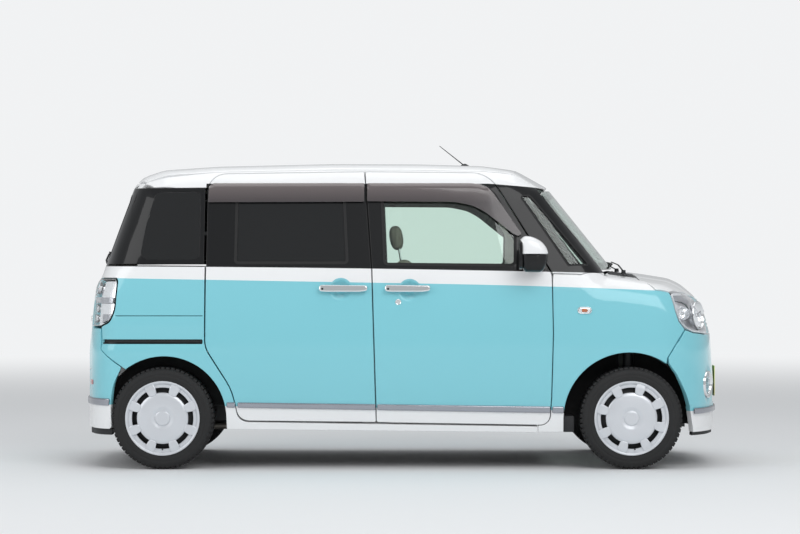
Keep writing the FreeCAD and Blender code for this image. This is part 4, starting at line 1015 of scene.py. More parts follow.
quarter_corners = [
    (0.7045, 0.192, 0.005), (0.7045, 0.222, 0.003), (-0.862, 0.2465, 0.06), (-0.902, 0.418, 0.3),
    (-1.042, 0.638, 0.14), (-1.042, 1.066, 0.004), (-1.3, 1.069, 0.0)]
rear_corners = [(-1.493, 1.004, 0.027), (-1.5075, 0.829, 0.12), (-1.537, 0.768, 0.066),
                (-1.5845, 0.746, 0.004), (-1.5845, 0.627, 0.01), *arch_points(REAR_AXLE, 0.325, 128, 0),
                (-0.925, 0.209, 0.004)]
side_outline = round_tail(quarter_corners) + [(0.5795, 1.069, 0.004), (0.5795, 1.004, 0.004)]
side_outline += round_tail(rear_corners)
rail_slot, pressed_seam = (outline(round_tail(corners)) for corners in (
    [(-1.05, 0.657, 0.003), (-1.05, 0.681, 0.004), (-1.5805, 0.681, 0.003), (-1.5805, 0.657, 0.003)],
    [(-1.05, 0.803, 0.0), (-1.05, 0.806, 0.0), (-1.507, 0.806, 0.0), (-1.507, 0.803, 0.0)]))


def rail_ledge(u, v):
    """The wall leans in to a ledge under the slot of the sliding door's rail and fades out above it."""
    return 0.006 * ramp(v, 0.634, 0.656) * (1 - ramp(v, 0.69, 0.76))


quarter = patch(TAIL_WRAP, [outline(side_outline), rail_slot, pressed_seam], 0.0, 0.045, dent=rail_ledge)
FRAME_VIEW, in_frame_view = on_view((-0.5, 0.6, -0.62), "cabin")


def on_body(place, points):
    """The points of the body's form at patch coordinates."""
    flat = np.array(points, float)
    return place(flat[:, 0], flat[:, 1])[0]


def placed(spots, which):
    """Points of the body's form, each given by the view it is read from and two distances."""
    views = {"side": SIDE_OF[which], "top": from_above(which), "front": from_front(which),
             "behind": from_behind(which)}
    return np.concatenate([on_body(views[spot[0]], [spot[1:3]]) for spot in spots])


def wrapped(spots, end):
    """Outline corners round the nose or the tail from such points; each may end in a radius."""
    points = placed(spots, "bonnet" if end > 0 else "cabin")
    far = np.abs(points[:, 1])
    across = BELT_OUT - BELT_TURN
    ahead = end * points[:, 0] - BELT_END + BELT_TURN
    angle = np.arctan2(far - across, ahead)
    round_part = across + BELT_TURN * np.clip(angle, 0, math.pi / 2)
    distance = np.where(far <= across, far, round_part + np.clip(-ahead, 0, None))
    return [(u, point[2], spot[3] if len(spot) > 3 else 0.0)
            for u, point, spot in zip(distance * np.sign(points[:, 1]) * end, points, spots)]


SIDE_OF = {which: from_side(which) for which in ("cabin", "bonnet", "whole")}


def edge_near(line, keep):
    """The part of a door's outline, 1 mm outside it, that a rule keeps."""
    near = shrunk(line, -0.001)
    return near[keep(near[:, 0], near[:, 1])]


around_front = edge_near(front_door_line, lambda x, z: (z > np.where(x > 0, 1.036, 1.56)) & (x > -0.19))
around_front = around_front[np.argsort(-around_front[:, 0])]
around_slide = edge_near(slide_door_line, lambda x, z: (z > 1.478) & (x < -0.21))
around_slide = around_slide[np.argsort(-around_slide.sum(1))]
roof_seam = [(x, -SEAM - 0.002) for x in (-1.364, -1.0, -0.5, 0.0, 0.4, 0.6, 0.7)]
screen_post = [(0.819, 1.331), (0.94, 1.18), (1.058, 1.033), (1.064, 1.018), (0.93, 1.0225), (0.787, 1.0275)]
frame_points = np.concatenate([on_body(view, spots) for view,
                               spots in ((SIDE, around_front), (SIDE, around_slide),
                                         (SIDE, [(-1.2, 1.479), (-1.32, 1.482)]),
                                         (from_behind(), [(0.5265, 1.499)]), (TOP, roof_seam),
                                         (from_front(), [(-0.552, 1.458)]), (SIDE, screen_post))])
frame_line = outline([(*point, 0.0) for point in in_frame_view(frame_points)])
quarter_glass_side = [(0.612, 1.44), (0.668, 1.437), (0.971, 1.078), (0.964, 1.066), (0.868, 1.068)]
quarter_line = outline([(*point, 0.012) for point in in_frame_view(on_body(SIDE, quarter_glass_side))])
upper_frame = patch(FRAME_VIEW, [frame_line, quarter_line], 0.0, 0.03)
pillar_lines = (
    [(-0.215, 0.2, 0.0), (-0.075, 0.2, 0.0), (-0.092, 1.044, 0.0), (-0.13, 1.6, 0.0), (-0.28, 1.6, 0.0),
     (-0.238, 1.044, 0.0)],
    [(0.721, 0.2, 0.0), (0.836, 0.2, 0.0), (0.836, 1.036, 0.0), (0.721, 1.06, 0.0)],
)
pillars = [patch(SIDE, [outline(corners)], 0.051, 0.085, cell=0.06) for corners in pillar_lines]
for side in ("right", "left"):
    piece(f"body_side_skin_{side}", on_side(side, quarter, upper_frame, *pillars), body_paint,
          replaced=f"body_side_{side}")

# ---- Doors ----
# A pressed skin with a rolled edge over a trimmed inner frame, with the window cut through.

front_window_line = outline([
    (-0.1, 1.072, 0.02), (0.59, 1.066, 0.03), (0.592, 1.24, 0.1), (0.47, 1.48, 0.1), (-0.118, 1.5, 0.02)])
slide_window_line = outline([
    (-0.29, 1.078, 0.02), (-0.312, 1.5, 0.02), (-0.88, 1.5, 0.02), (-0.884, 1.078, 0.02)])


def hollow(centre, radius, depth, flat, u, v):
    """The depth of a round cup pressed into a panel; its bottom is level out to a flat radius."""
    return depth * (1 - ramp(np.hypot(u - centre[0], v - centre[1]), flat, radius))


for name, line, window in (("door_front", front_door_line, front_window_line),
                           ("door_slide", slide_door_line, slide_window_line)):
    cup = HANDLE_CUPS[name]
    press = functools.partial(hollow, cup, CUP_RADIUS, 0.024, 0.3 * CUP_RADIUS)
    skin = patch(SIDE, [shrunk(line, 0.003), window], 0.0, 0.014, cell=0.03, fine=[(*cup, 0.084, 0.0065)],
                 dent=press)
    lining = patch(SIDE, [shrunk(line, 0.02), window], 0.0145, 0.045, cell=0.06, fine=[(*cup, 0.072, 0.014)],
                   dent=press)
    for side in ("right", "left"):
        body = f"{name}_{side}" if name == "door_front" else "root"
        piece(f"{name}_skin_{side}", on_side(side, skin), body_paint, body,
              replaced=f"{name}_{side}")
        piece(f"{name}_lining_{side}", on_side(side, lining), trim_plastic, body)

# ---- Glass ----
# Green-tinted safety glass in front, dark privacy glass behind, each pane in a black
# rubber seal; the rear quarter panes wrap over the pillars behind a black border.

clear_glass = finish_with("clear_glass", (0.8, 0.92, 0.86), 0.0, Transmission_Weight=1.0, IOR=1.45)
dark_glass = finish_with("dark_glass", (0.016, 0.017, 0.018), 0.03, Transmission_Weight=0.25, IOR=1.45)
for pane_finish in (clear_glass, dark_glass):
    grained(pane_finish, 1.6, 0.02, 0.003, 1.0)


def pane(place, line, seal_width=0.011, depth=0.004):
    """A pane that fills an opening, and the rubber seal around it."""
    glass = patch(place, [shrunk(line, 0.0008)], depth, depth + 0.004, cell=0.03, roll=0.0008)
    seal = patch(place, [shrunk(line, -0.004), shrunk(line, seal_width)], -0.0012, depth - 0.0003, cell=0.03,
                 roll=0.001)
    return glass, seal


front_glass, front_seal = pane(SIDE, front_window_line)
slide_glass, slide_seal = pane(SIDE, slide_window_line)
corner_glass, corner_seal = pane(FRAME_VIEW, quarter_line, 0.006)
screen_half = [
    (0.0, 1.052, 1.0), (-0.3, 1.051, 1.0), (-0.5, 1.05, 0.5), (-0.578, 1.048, 0.02), (-0.565, 1.331, 1.0),
    (-0.541, 1.457, 0.03), (-0.4, 1.468, 1.0), (0.0, 1.478, 2.0)]
screen_line = outline(both_halves(screen_half))
SCREEN = from_front()
screen = patch(SCREEN, [screen_line], 0.002, 0.007, cell=0.03, roll=0.001)
screen_border = patch(SCREEN, [shrunk(screen_line, 0.001), shrunk(screen_line, 0.035)], 0.0072, 0.0085,
                      cell=0.03, roll=0.0004)
wrap_line = outline([
    *round_tail([(-1.046, 1.076, 0.008), (-1.3, 1.076, 0.3)]), (0.5785, 1.076, 0.01), (0.5275, 1.494, 0.01),
    *round_tail([(-1.32, 1.477, 0.3), (-1.2, 1.475, 0.3), (-1.046, 1.474, 0.008)])])
dark_line = outline(round_tail([
    (-1.07, 1.098, 0.03), (-1.385, 1.098, 0.04), (-1.352, 1.29, 0.6), (-1.304, 1.456, 0.04),
    (-1.07, 1.456, 0.03)]))
wrap_border = patch(TAIL_WRAP, [wrap_line, dark_line], 0.0, 0.006, cell=0.03, roll=0.0015)
wrap_glass = patch(TAIL_WRAP, [shrunk(dark_line, 0.0004)], 0.0002, 0.005, cell=0.03, roll=0.0004)

for side in ("right", "left"):
    door = f"door_front_{side}"
    piece(f"front_door_glass_{side}", on_side(side, front_glass), clear_glass, door,
          replaced=f"door_glass_front_{side}")
    piece(f"front_door_seal_{side}", on_side(side, front_seal), rubber, door)
piece("slide_door_glass", pair(slide_glass, wrap_glass), dark_glass, replaced="side_glass")
piece("corner_glass", pair(corner_glass), clear_glass)
piece("side_seals", pair(slide_seal, corner_seal), rubber)
piece("rear_glass_border", pair(wrap_border), black_gloss)
piece("windscreen_glass", [screen], clear_glass, replaced="windscreen")
piece("windscreen_border", [screen_border], rubber)

# ---- Rain visors ----
# Smoked clear strips moulded to stand off the door frames over the windows, taped on
# along their top edge.

smoked = finish_with("smoked_acrylic", srgb(104, 96, 96), 0.12, Coat_Weight=0.5, Transmission_Weight=0.3,
                     IOR=1.49)
tree = smoked.node_tree
rise = maths(tree, "MULTIPLY_ADD", place_in(tree)[2], 9.0, -12.6)
tree.links.new(mixed(tree, rise, srgb(78, 72, 74), srgb(128, 118, 118)),
               tree.nodes["Principled BSDF"].inputs["Base Color"])
grained(smoked, 60.0, 0.03, 0.001)
front_visor = outline([
    (-0.19, 1.403, 0.006), (0.27, 1.4, 0.3), (0.374, 1.379, 0.2), (0.44, 1.34, 0.2), (0.574, 1.233, 0.3),
    (0.604, 1.219, 0.006), (0.623, 1.23, 0.006), (0.547, 1.343, 0.5), (0.481, 1.44, 0.1),
    (0.447, 1.476, 0.08), (0.414, 1.496, 0.08), (0.36, 1.503, 0.2), (-0.19, 1.503, 0.006)])
slide_visor = outline([
    (-1.028, 1.398, 0.006), (-0.206, 1.401, 0.006), (-0.206, 1.503, 0.006), (-1.003, 1.503, 0.02),
    (-1.025, 1.488, 0.02)])


def stand_off(line, low_edge):
    """Depth that brings a visor's upper edge back to the frame and leaves its lower edge proud."""
    def dent(u, v):
        upper = line[line[:, 1] > low_edge]
        gaps = np.array([np.min(np.hypot(upper[:, 0] - a, upper[:, 1] - b)) for a, b in zip(u, v)])
        return 0.0128 * (1 - ramp(gaps, 0.0, 0.024))
    return dent


front_strip, slide_strip = (
    patch(SIDE, [line], -0.0158, -0.0128, cell=0.012, roll=0.0012, dent=stand_off(line, low_edge))
    for line, low_edge in ((front_visor, 1.485), (slide_visor, 1.49)))
for side in ("right", "left"):
    piece(f"rain_visor_{side}", on_side(side, front_strip), smoked, f"door_front_{side}",
          replaced=f"visor_front_{side}")
piece("rain_visors_slide", pair(slide_strip), smoked, replaced="visors_slide")

# ---- Front fenders ----
# Bolted steel panels between the front doors and the lamps, with the front wheel arches.

SHOULDER, in_shoulder_view = on_view((-0.15, 0.75, -0.64), "whole")
door_edge = shrunk(front_door_line, -0.002)
door_edge = door_edge[(door_edge[:, 0] > 0.712) & (door_edge[:, 1] < 1.0)]
door_edge = door_edge[np.argsort(door_edge.sum(1))]
inner_edge = [(1.076, -0.601), (1.084, -0.52), (1.238, -0.52), (1.244, -0.6), (1.25, -0.601)]
lamp_edge = [
    (1.283, 0.975), (1.3225, 0.938), (1.3985, 0.9255), (1.4285, 0.82), (1.4445, 0.774), (1.477, 0.731),
    (1.43, 0.66), (1.3835, 0.586)]
arch_edge = [point[:2] for point in arch_points(FRONT_AXLE, 0.345, 56, 180)]
fender_spots = [(view, *point) for view, points in (
    ("side", [(0.708, 0.193), (0.708, 0.2225)]), ("side", door_edge),
    ("side", [(0.787, 1.0235), (0.93, 1.0185), (1.066, 1.0135)]), ("top", inner_edge), ("side", lamp_edge),
    ("side", arch_edge), ("side", [(0.84, 0.193)])) for point in points]
fender_line = outline([(*point, 0.0) for point in in_shoulder_view(placed(fender_spots, "whole"))])
fender = patch(SHOULDER, [fender_line], 0.0, 0.045)
piece("fender_skins", pair(fender), body_paint, replaced="front_fenders")
# Black blocks behind the front wheels: partly real mud flaps, partly painted shade under the car there.
flap_and_shade = block((0.058, 0.13, 0.085), 0.006, (0.868, -0.622, 0.236))
piece("mud_flaps_and_shade", pair(flap_and_shade), black_plastic)

# ---- Cowl and wipers ----
# A grained black moulding under the windscreen with rows of air slots, and two wipers
# whose arms lie along the foot of the glass.

cowl_half = [
    (1.16, 0.0, 1.0), (1.133, -0.3, 1.0), (1.0875, -0.5, 0.3), (1.086, -0.5165, 0.005),
    (1.239, -0.5165, 0.005), (1.236, -0.3, 1.0), (1.233, 0.0, 1.0)]
cowl_line = outline(cowl_half + [(x, -y, r) for x, y, r in cowl_half[-2:0:-1]])
cowl_slots = [outline([(1.182, y - 0.045, 0.004), (1.182, y + 0.045, 0.004), (1.19, y + 0.045, 0.004),
                       (1.19, y - 0.045, 0.004)]) for y in np.arange(-0.46, 0.47, 0.115)]
cowl_slots += [loop + np.array([0.018, 0]) for loop in cowl_slots]
cowl = patch(from_above("whole"), [cowl_line] + cowl_slots, 0.006, 0.02)
UPRIGHT = Matrix.Rotation(math.radians(-90), 4, "X")
pivot_cap = turned([(0.0, 0.0), (0.02, 0.0), (0.02, 0.011), (0.0, 0.013)], 16)
wiper_parts = []
for pivot, tip, blade_from, blade_to in (
        ((1.178, -0.44, 1.024), (-0.05, 1.075), (-0.31, 1.062), (0.25, 1.08)),
        ((1.19, 0.12, 1.032), (0.42, 1.072), (0.24, 1.075), (0.56, 1.062))):
    on_glass = on_body(SCREEN, [tip])[0] + [0.02, 0, 0.012]
    start = np.array(pivot) + [0, 0, 0.012]
    elbow = (start + on_glass) / 2 + [0.004, 0, 0.01]
    along = np.linspace(0, 1, 14)[:, None]
    line = on_body(SCREEN, np.array(blade_from) + along * (np.array(blade_to) - blade_from))
    wiper_parts += [
        moved(pivot_cap, at_place(*pivot) @ UPRIGHT),
        tube(spaced([start, elbow, on_glass], 0.03), 0.0055, 8, flat=0.5),
        tube(line + [0.008, 0, 0.004], 0.004, 6, flat=1.6), tube(line + [0.015, 0, 0.009], 0.003, 6)]
piece("cowl_moulding", [cowl], black_plastic, replaced="cowl_panel")
piece("wipers", wiper_parts, black_plastic, angle=40)

# ---- Bonnet ----
# A short white pressing over the engine, its front edge rounded down between the lamps.

BONNET = from_above("bonnet")
bonnet_spots = [
    ("top", 1.24, 0.0), ("top", 1.243, -0.3), ("top", 1.255, -0.592), ("side", 1.288, 0.979),
    ("side", 1.3265, 0.9425), ("side", 1.403, 0.932), ("side", 1.47, 0.929), ("side", 1.505, 0.9255),
    ("side", 1.5415, 0.9075), ("front", -0.3, 0.899), ("front", -0.15, 0.894), ("front", 0.0, 0.893)]
bonnet_half = placed(bonnet_spots, "bonnet")[:, :2]
bonnet_corners = np.concatenate([bonnet_half, bonnet_half[-2:0:-1] * [1, -1]])
bonnet_line_seen = outline([(*point, 0.012) for point in bonnet_corners])


def bonnet_crease(u, v):
    """A shallow raised field in the middle of the bonnet."""
    inside = ramp(0.46 - np.abs(v) - 0.12 * (u - 1.24), 0.0, 0.05) * ramp(1.6 - u, 0.0, 0.1)
    return 0.003 * (1 - inside)


bonnet = patch(BONNET, [bonnet_line_seen], 0.0, 0.02, cell=0.02, dent=bonnet_crease)
piece("bonnet_skin", [bonnet], white_paint, "bonnet", replaced="bonnet")

# ---- Headlamps and front panel ----
# Clear polycarbonate covers over chromed bowls, with a turquoise panel and one slim
# bright bar between them.

NOSE_WRAP = round_the(1)
lamp_spots = [
    ("side", 1.404, 0.922, 0.012), ("side", 1.432, 0.82, 0.2), ("side", 1.448, 0.776, 0.08),
    ("side", 1.4815, 0.737, 0.06), ("side", 1.528, 0.7175, 0.1), ("side", 1.6, 0.707, 0.3),
    ("front", -0.44, 0.706, 0.03), ("front", -0.44, 0.896, 0.03), ("side", 1.503, 0.919, 0.1),
    ("side", 1.46, 0.923, 0.3)]
lamp_line = outline(wrapped(lamp_spots, 1))
lens_clear = finish_with("lamp_lens", (0.97, 0.98, 0.99), 0.02, Transmission_Weight=1.0, IOR=1.3)
grained(lens_clear, 35.0, 0.08, 0.002, 1.0)
lamp_silver = moulded("lamp_reflector", (0.8, 0.81, 0.82), 0.16, 60.0, 0.1, 0.0015, 0.06, 1.0)
lamp_shell = finish_with("lamp_shell", (0.66, 0.67, 0.7), 0.3, Coat_Weight=0.5)
grained(lamp_shell, 60.0, 0.15, 0.002, 1.0)
lamp_cover = patch(NOSE_WRAP, [lamp_line], 0.0, 0.0035, cell=0.022, roll=0.0015)
lamp_rim = patch(NOSE_WRAP, [shrunk(lamp_line, 0.0005), shrunk(lamp_line, 0.012)], 0.004, 0.045, cell=0.03,
                 roll=0.0005)
lamp_back = patch(NOSE_WRAP, [shrunk(lamp_line, 0.006)], 0.052, 0.058, cell=0.03, roll=0.001)
main_bowl = turned([
    (0.002, 0.074), (0.006, 0.072), (-0.01, 0.066), (-0.03, 0.05), (-0.042, 0.028), (-0.046, 0.0),
    (-0.05, 0.0), (-0.047, 0.03), (-0.034, 0.054), (-0.012, 0.071)], 48)
small_bowl = turned([
    (0.002, 0.046), (0.005, 0.044), (-0.01, 0.04), (-0.026, 0.028), (-0.034, 0.0), (-0.038, 0.0),
    (-0.03, 0.03), (-0.012, 0.043)], 40)
bulb = turned([(-0.046, 0.0), (-0.046, 0.01), (-0.02, 0.011), (-0.006, 0.01), (0.0, 0.006), (0.002, 0.0)], 20)


def facing(point, outward):
    """A transform from a piece turned about the Y axis, facing -Y, to one facing outward."""
    return Matrix.Translation(point) @ Vector(outward).to_track_quat("-Y", "Z").to_matrix().to_4x4()


main_spot = facing((1.56, -0.575, 0.806), (0.86, -0.48, 0.1))
small_spot = facing((1.59, -0.48, 0.8), (0.97, -0.22, 0.12))
turn_spot = facing((1.47, -0.66, 0.815), (0.35, -0.93, 0.1))
bowls = [moved(main_bowl, main_spot), moved(small_bowl, small_spot),
         moved(small_bowl, turn_spot @ Matrix.Scale(0.8, 4))]
for name, parts, material, replaced in (
        ("headlamp_covers", [lamp_cover], lens_clear, "headlamps"),
        ("headlamp_rims", [lamp_rim, lamp_back], lamp_shell, None),
        ("headlamp_bowls", bowls, lamp_silver, None),
        ("headlamp_bulbs", [moved(bulb, main_spot), moved(bulb, small_spot)], lens_clear, None),
        ("turn_bulbs", [moved(bulb, turn_spot)], lens_clear, None)):
    piece(name, pair(*parts), material, replaced=replaced)
panel_half = [
    ("front", 0.0, 0.7065), ("front", -0.434, 0.7065, 0.02), ("front", -0.434, 0.8965, 0.01),
    ("front", -0.39, 0.899, 0.02), ("front", -0.28, 0.8905, 0.5), ("front", 0.0, 0.8865, 1.0)]
panel_line = outline(both_halves(wrapped(panel_half, 1)))
slot_lines = [oblong(-0.36, 0.36, z - 0.005, z + 0.005, 0.005) for z in (0.742, 0.762)]
front_panel = patch(NOSE_WRAP, [panel_line] + slot_lines, 0.001, 0.02)
slot_back = patch(NOSE_WRAP, [oblong(-0.38, 0.38, 0.725, 0.78, 0.01)], 0.024, 0.03)
front_bar = patch(NOSE_WRAP, [oblong(-0.4, 0.4, 0.812, 0.83, 0.008)], -0.006, 0.0008, roll=0.004)
piece("front_panel", [front_panel], body_paint, replaced="grille_panel")
piece("front_panel_slots", [slot_back], black_plastic)
piece("front_bar", [front_bar], chrome)

# ---- Front bumper ----
# One moulded cover round the nose, turquoise above and white below, with an air intake,
# round fog lamps in bright rings and a black skirt under it.

bumper_spots = [
    ("side", 1.53, 0.188, 0.01), ("side", 1.517, 0.2945, 0.2), ("side", 1.49, 0.385, 0.2),
    ("side", 1.445, 0.478, 0.2), ("side", 1.393, 0.554, 0.004), ("side", 1.3885, 0.585, 0.004),
    ("side", 1.4345, 0.657), ("side", 1.4815, 0.7275, 0.004), ("side", 1.528, 0.712, 0.1),
    ("side", 1.6, 0.7015, 0.3), ("front", -0.43, 0.701, 0.5), ("front", 0.0, 0.701, 0.5)]
bumper_line = outline(both_halves(wrapped(bumper_spots, 1)))
intake_line = outline([(-0.38, 0.33, 0.02), (0.38, 0.33, 0.02), (0.36, 0.43, 0.02), (-0.36, 0.43, 0.02)])
FOG, FOG_RADIUS = (0.51, 0.435), 0.058
fog_holes = [outline([(sign * FOG[0] + FOG_RADIUS * math.cos(a), FOG[1] + FOG_RADIUS * math.sin(a), 0.0)
                      for a in np.linspace(0, 2 * math.pi, 36, False)]) for sign in (-1, 1)]


def bumper_dent(u, v):
    """A soft ledge over the white skirt and shallow pockets round the fog lamps."""
    pockets = sum(hollow((sign * FOG[0], FOG[1]), 0.1, 0.006, 0.07, u, v) for sign in (-1, 1))
    ledge = 0.004 * ramp(0.325 - v, 0.0, 0.006) * (1 - ramp(0.325 - v, 0.04, 0.12))
    return pockets + ledge


bumper = patch(NOSE_WRAP, [bumper_line, intake_line] + fog_holes, 0.0, 0.03, cell=0.018, roll=0.003,
               dent=bumper_dent)
piece("front_bumper_skin", [bumper], body_paint, replaced="front_bumper")
slat = tube(spaced([(0, -0.365, 0), (0, 0.365, 0)], 0.08), 0.004, 8)
slats = repeated(slat, black_plastic, 4, step=(0, 0, 0.024))
skirt_spots = [("side", 1.534, 0.168, 0.005), ("side", 1.534, 0.186, 0.003), ("front", -0.4, 0.186, 0.3),
               ("front", 0.0, 0.186, 0.3)]
skirt_line = outline(both_halves(wrapped(skirt_spots, 1)))
fog_centre, fog_out = (place[0] for place in NOSE_WRAP(np.array([-FOG[0]]), np.array([FOG[1]])))
fog_spot = facing(Vector(fog_centre - fog_out * 0.004), Vector(fog_out))
fog_ring = turned([
    (0.0, 0.056), (0.008, 0.06), (0.012, 0.066), (0.009, 0.072), (0.0, 0.0745), (-0.01, 0.07), (-0.016, 0.058)
], 56)
fog_bowl = turned([
    (-0.006, 0.056), (-0.02, 0.048), (-0.034, 0.026), (-0.038, 0.0), (-0.042, 0.0), (-0.038, 0.03),
    (-0.024, 0.054), (-0.01, 0.0585)], 48)
fog_lens = turned([
    (-0.004, 0.057), (0.001, 0.05), (0.005, 0.03), (0.006, 0.0), (0.003, 0.0), (0.002, 0.03), (-0.002, 0.049),
    (-0.007, 0.056)], 48)
for name, part, material, slot in (
        ("fog_rings", fog_ring, chrome, "wheel_cover"), ("fog_bowls", fog_bowl, lamp_silver, "lamp_lens"),
        ("fog_lenses", fog_lens, lens_clear, "lamp_lens")):
    piece(name, pair(moved(part, fog_spot)), material)
piece("intake_slats", [moved(slats, at_place(1.64, 0, 0.344))], black_plastic)
piece("front_skirt", [patch(NOSE_WRAP, [skirt_line], 0.012, 0.03)], black_plastic)

plate_shape = block((0.0016, 0.33, 0.165), 0.0007, spans=1)
plate_edge = oblong(-0.163, 0.163, -0.0805, 0.0805, 0.008) @ np.array([[0, 1, 0], [0, 0, 1]])
plate_rim = tube(plate_edge, 0.0018, 6, closed=True, up=(1, 0, 0))
plate_bolt = turned([(0.0, 0.0), (0.0, 0.0085), (0.004, 0.008), (0.006, 0.005), (0.006, 0.0)], 12)
bolts = [moved(plate_bolt, facing((0.001, y, 0.0405), (1, 0, 0))) for y in (-0.105, 0.105)]
plate_enamel = moulded("plate_enamel", srgb(236, 226, 120), 0.35, 200.0, 0.05, 0.0003, 0.04)


def number_plate(end, body, spot):
    """A blank plate with a rolled edge and its two bolts."""
    piece(f"{end}_plate", [moved(part, spot) for part in (plate_shape, plate_rim)], plate_enamel,
          body)
    piece(f"{end}_plate_bolts", [moved(part, spot) for part in bolts], chrome, body)


number_plate("front", "root", at_place(1.699, 0, 0.4395))

# ---- Rear bumper ----
# One moulded cover round the tail, turquoise over white with a bright strip between, a
# flat step under the tailgate and a black skirt below.

rear_spots = [
    ("side", -1.5905, 0.737, 0.004), ("side", -1.5905, 0.628, 0.01), ("side", -1.474, 0.534, 0.01),
    ("side", -1.52, 0.44, 0.2), ("side", -1.535, 0.34, 0.2), ("side", -1.528, 0.21, 0.03)]
rear_half = wrapped(rear_spots, -1)[::-1] + [(0.5785, 0.737, 0.004), (0.5785, 0.5165, 0.02)]
rear_bumper = patch(TAIL_WRAP, [outline(both_halves(rear_half))], 0.0, 0.03)
piece("rear_bumper_skin", [rear_bumper], body_paint, replaced="rear_bumper")
apron_spots = [("side", -1.53, 0.176, 0.01), ("side", -1.528, 0.2085, 0.003)]
apron_line = outline(both_halves(wrapped(apron_spots, -1)))
piece("rear_skirt", [patch(TAIL_WRAP, [apron_line], 0.01, 0.03)], black_plastic)
red_lens = finish_with("red_lens", srgb(190, 18, 22), 0.06, Transmission_Weight=0.35, Coat_Weight=0.8)
grained(red_lens, 260.0, 0.35, 0.001, 1.0)
reflector = patch(TAIL_WRAP, [oblong(0.535, 0.665, 0.439, 0.465, 0.012)], -0.003, 0.0, cell=0.01, roll=0.002)
piece("rear_reflectors", pair(reflector), red_lens)

# ---- Tailgate ----
# A steel door hinged at the roof, with dark glass, a wiper, a high brake lamp, a bright
# grip over the blank plate and a lamp each side of it.

BEHIND = from_behind()
hatch_line = outline([
    (-0.574, 0.523, 0.03), (0.574, 0.523, 0.03), (0.574, 1.01, 0.1), (0.522, 1.504, 0.008),
    (-0.522, 1.504, 0.008), (-0.574, 1.01, 0.1)])
hatch_window = outline([(-0.515, 1.095, 0.05), (0.515, 1.095, 0.05), (0.474, 1.442, 0.05),
                        (-0.474, 1.442, 0.05)])
PLATE_HALF_WIDTH, PLATE_MIDDLE, PLATE_HALF_HEIGHT = 0.255, 0.615, 0.125


def hatch_press(u, v):
    """A shallow recess round the plate and a soft crease under the window."""
    beside = ramp(PLATE_HALF_WIDTH - np.abs(u), 0.0, 0.035)
    over = ramp(PLATE_HALF_HEIGHT - np.abs(v - PLATE_MIDDLE), 0.0, 0.03)
    crease = ramp(1.045 - v, 0.0, 0.02) * ramp(v - 0.8, 0.0, 0.2)
    return 0.012 * beside * over + 0.004 * crease


hatch_skin = patch(BEHIND, [hatch_line, hatch_window], 0.0, 0.03, cell=0.02, dent=hatch_press)
hatch_lining = patch(BEHIND, [shrunk(hatch_line, 0.025), hatch_window], 0.0305, 0.045, cell=0.05,
                     dent=hatch_press)
hatch_glass, hatch_seal = pane(BEHIND, hatch_window, 0.016)
brake_lamp = patch(BEHIND, [oblong(-0.15, 0.15, 1.462, 1.48, 0.008)], -0.006, -0.0003, roll=0.003)
hatch_grip = patch(BEHIND, [oblong(-0.27, 0.27, 0.765, 0.797, 0.014)], -0.014, -0.0003, cell=0.012,
                   roll=0.006)
piece("tailgate_skin", [hatch_skin], body_paint, "tailgate", replaced="tailgate")
piece("tailgate_lining", [hatch_lining], trim_plastic, "tailgate")
piece("tailgate_pane", [hatch_glass], dark_glass, "tailgate", replaced="tailgate_glass")
piece("tailgate_seal", [hatch_seal], rubber, "tailgate")
piece("high_brake_lamp", [brake_lamp], red_lens, "tailgate")
piece("tailgate_grip", [hatch_grip], chrome, "tailgate")
pivot, elbow, arm_end = on_body(BEHIND, [(0.0, 1.078), (0.08, 1.098), (0.19, 1.131)])
blade_line = on_body(BEHIND, [(a, 1.122 + 0.02 * math.sin(a * 3)) for a in np.linspace(0.02, 0.36, 14)])
arm = spaced([pivot + [-0.022, 0, 0], elbow + [-0.026, 0, 0], arm_end + [-0.014, 0, 0]], 0.02)
hub = moved(turned([(-0.004, 0.0), (-0.004, 0.018), (0.012, 0.017), (0.022, 0.013), (0.026, 0.0)], 24),
            facing(Vector(pivot), (-1, 0, 0.2)))
blades = [tube(blade_line + [-0.002, 0, 0], 0.003, 6), tube(blade_line + [-0.008, 0, 0], 0.0045, 6)]
piece("rear_wiper", [hub, tube(arm, 0.006, 8, flat=0.6), *blades], black_plastic, "tailgate",
      angle=40)
number_plate("rear", "tailgate", at_place(-1.7015, 0, 0.5995) @ Matrix.Rotation(math.pi, 4, "Z"))
plate_lamp = block((0.016, 0.06, 0.012), 0.004, (-1.6935, 0.115, 0.726))
piece("plate_lamps", pair(plate_lamp), lens_clear, "tailgate")

# ---- Tail lamps ----
# Clear covers wrapped round the rear corners over a silver housing with a grey band, a red
# lamp above it, and a turn lamp and a reversing lamp below.

tail_corners = round_tail([(-1.5885, 0.7505, 0.004), (-1.54, 0.772, 0.07), (-1.5115, 0.83, 0.12),
                           (-1.497, 1.0, 0.03)])
tail_line = outline([(0.5785, 0.7445, 0.012), *tail_corners, (0.5785, 1.0, 0.012)])
tail_cover = patch(TAIL_WRAP, [shrunk(tail_line, 0.0022)], -0.002, 0.0015, cell=0.02, roll=0.003)
tail_seal = patch(TAIL_WRAP, [shrunk(tail_line, -0.0004), shrunk(tail_line, 0.006)], 0.0018, 0.032, cell=0.03,
                  roll=0.0005)
tail_back = patch(TAIL_WRAP, [shrunk(tail_line, 0.0062)], 0.02, 0.024, cell=0.02, roll=0.001)
band_line = outline([(0.59, 0.87, 0.003), *round_tail([(-1.522, 0.87, 0.003), (-1.519, 0.901, 0.003)]),
                     (0.59, 0.901, 0.003)])
net_line = outline(round_tail([(-1.586, 0.813, 0.002), (-1.524, 0.813, 0.002), (-1.538, 0.786, 0.01),
                               (-1.586, 0.765, 0.002)]))
tail_band = patch(TAIL_WRAP, [band_line], 0.003, 0.0195, cell=0.02, roll=0.002)
tail_net = patch(TAIL_WRAP, [net_line], 0.008, 0.0195, cell=0.02, roll=0.002)
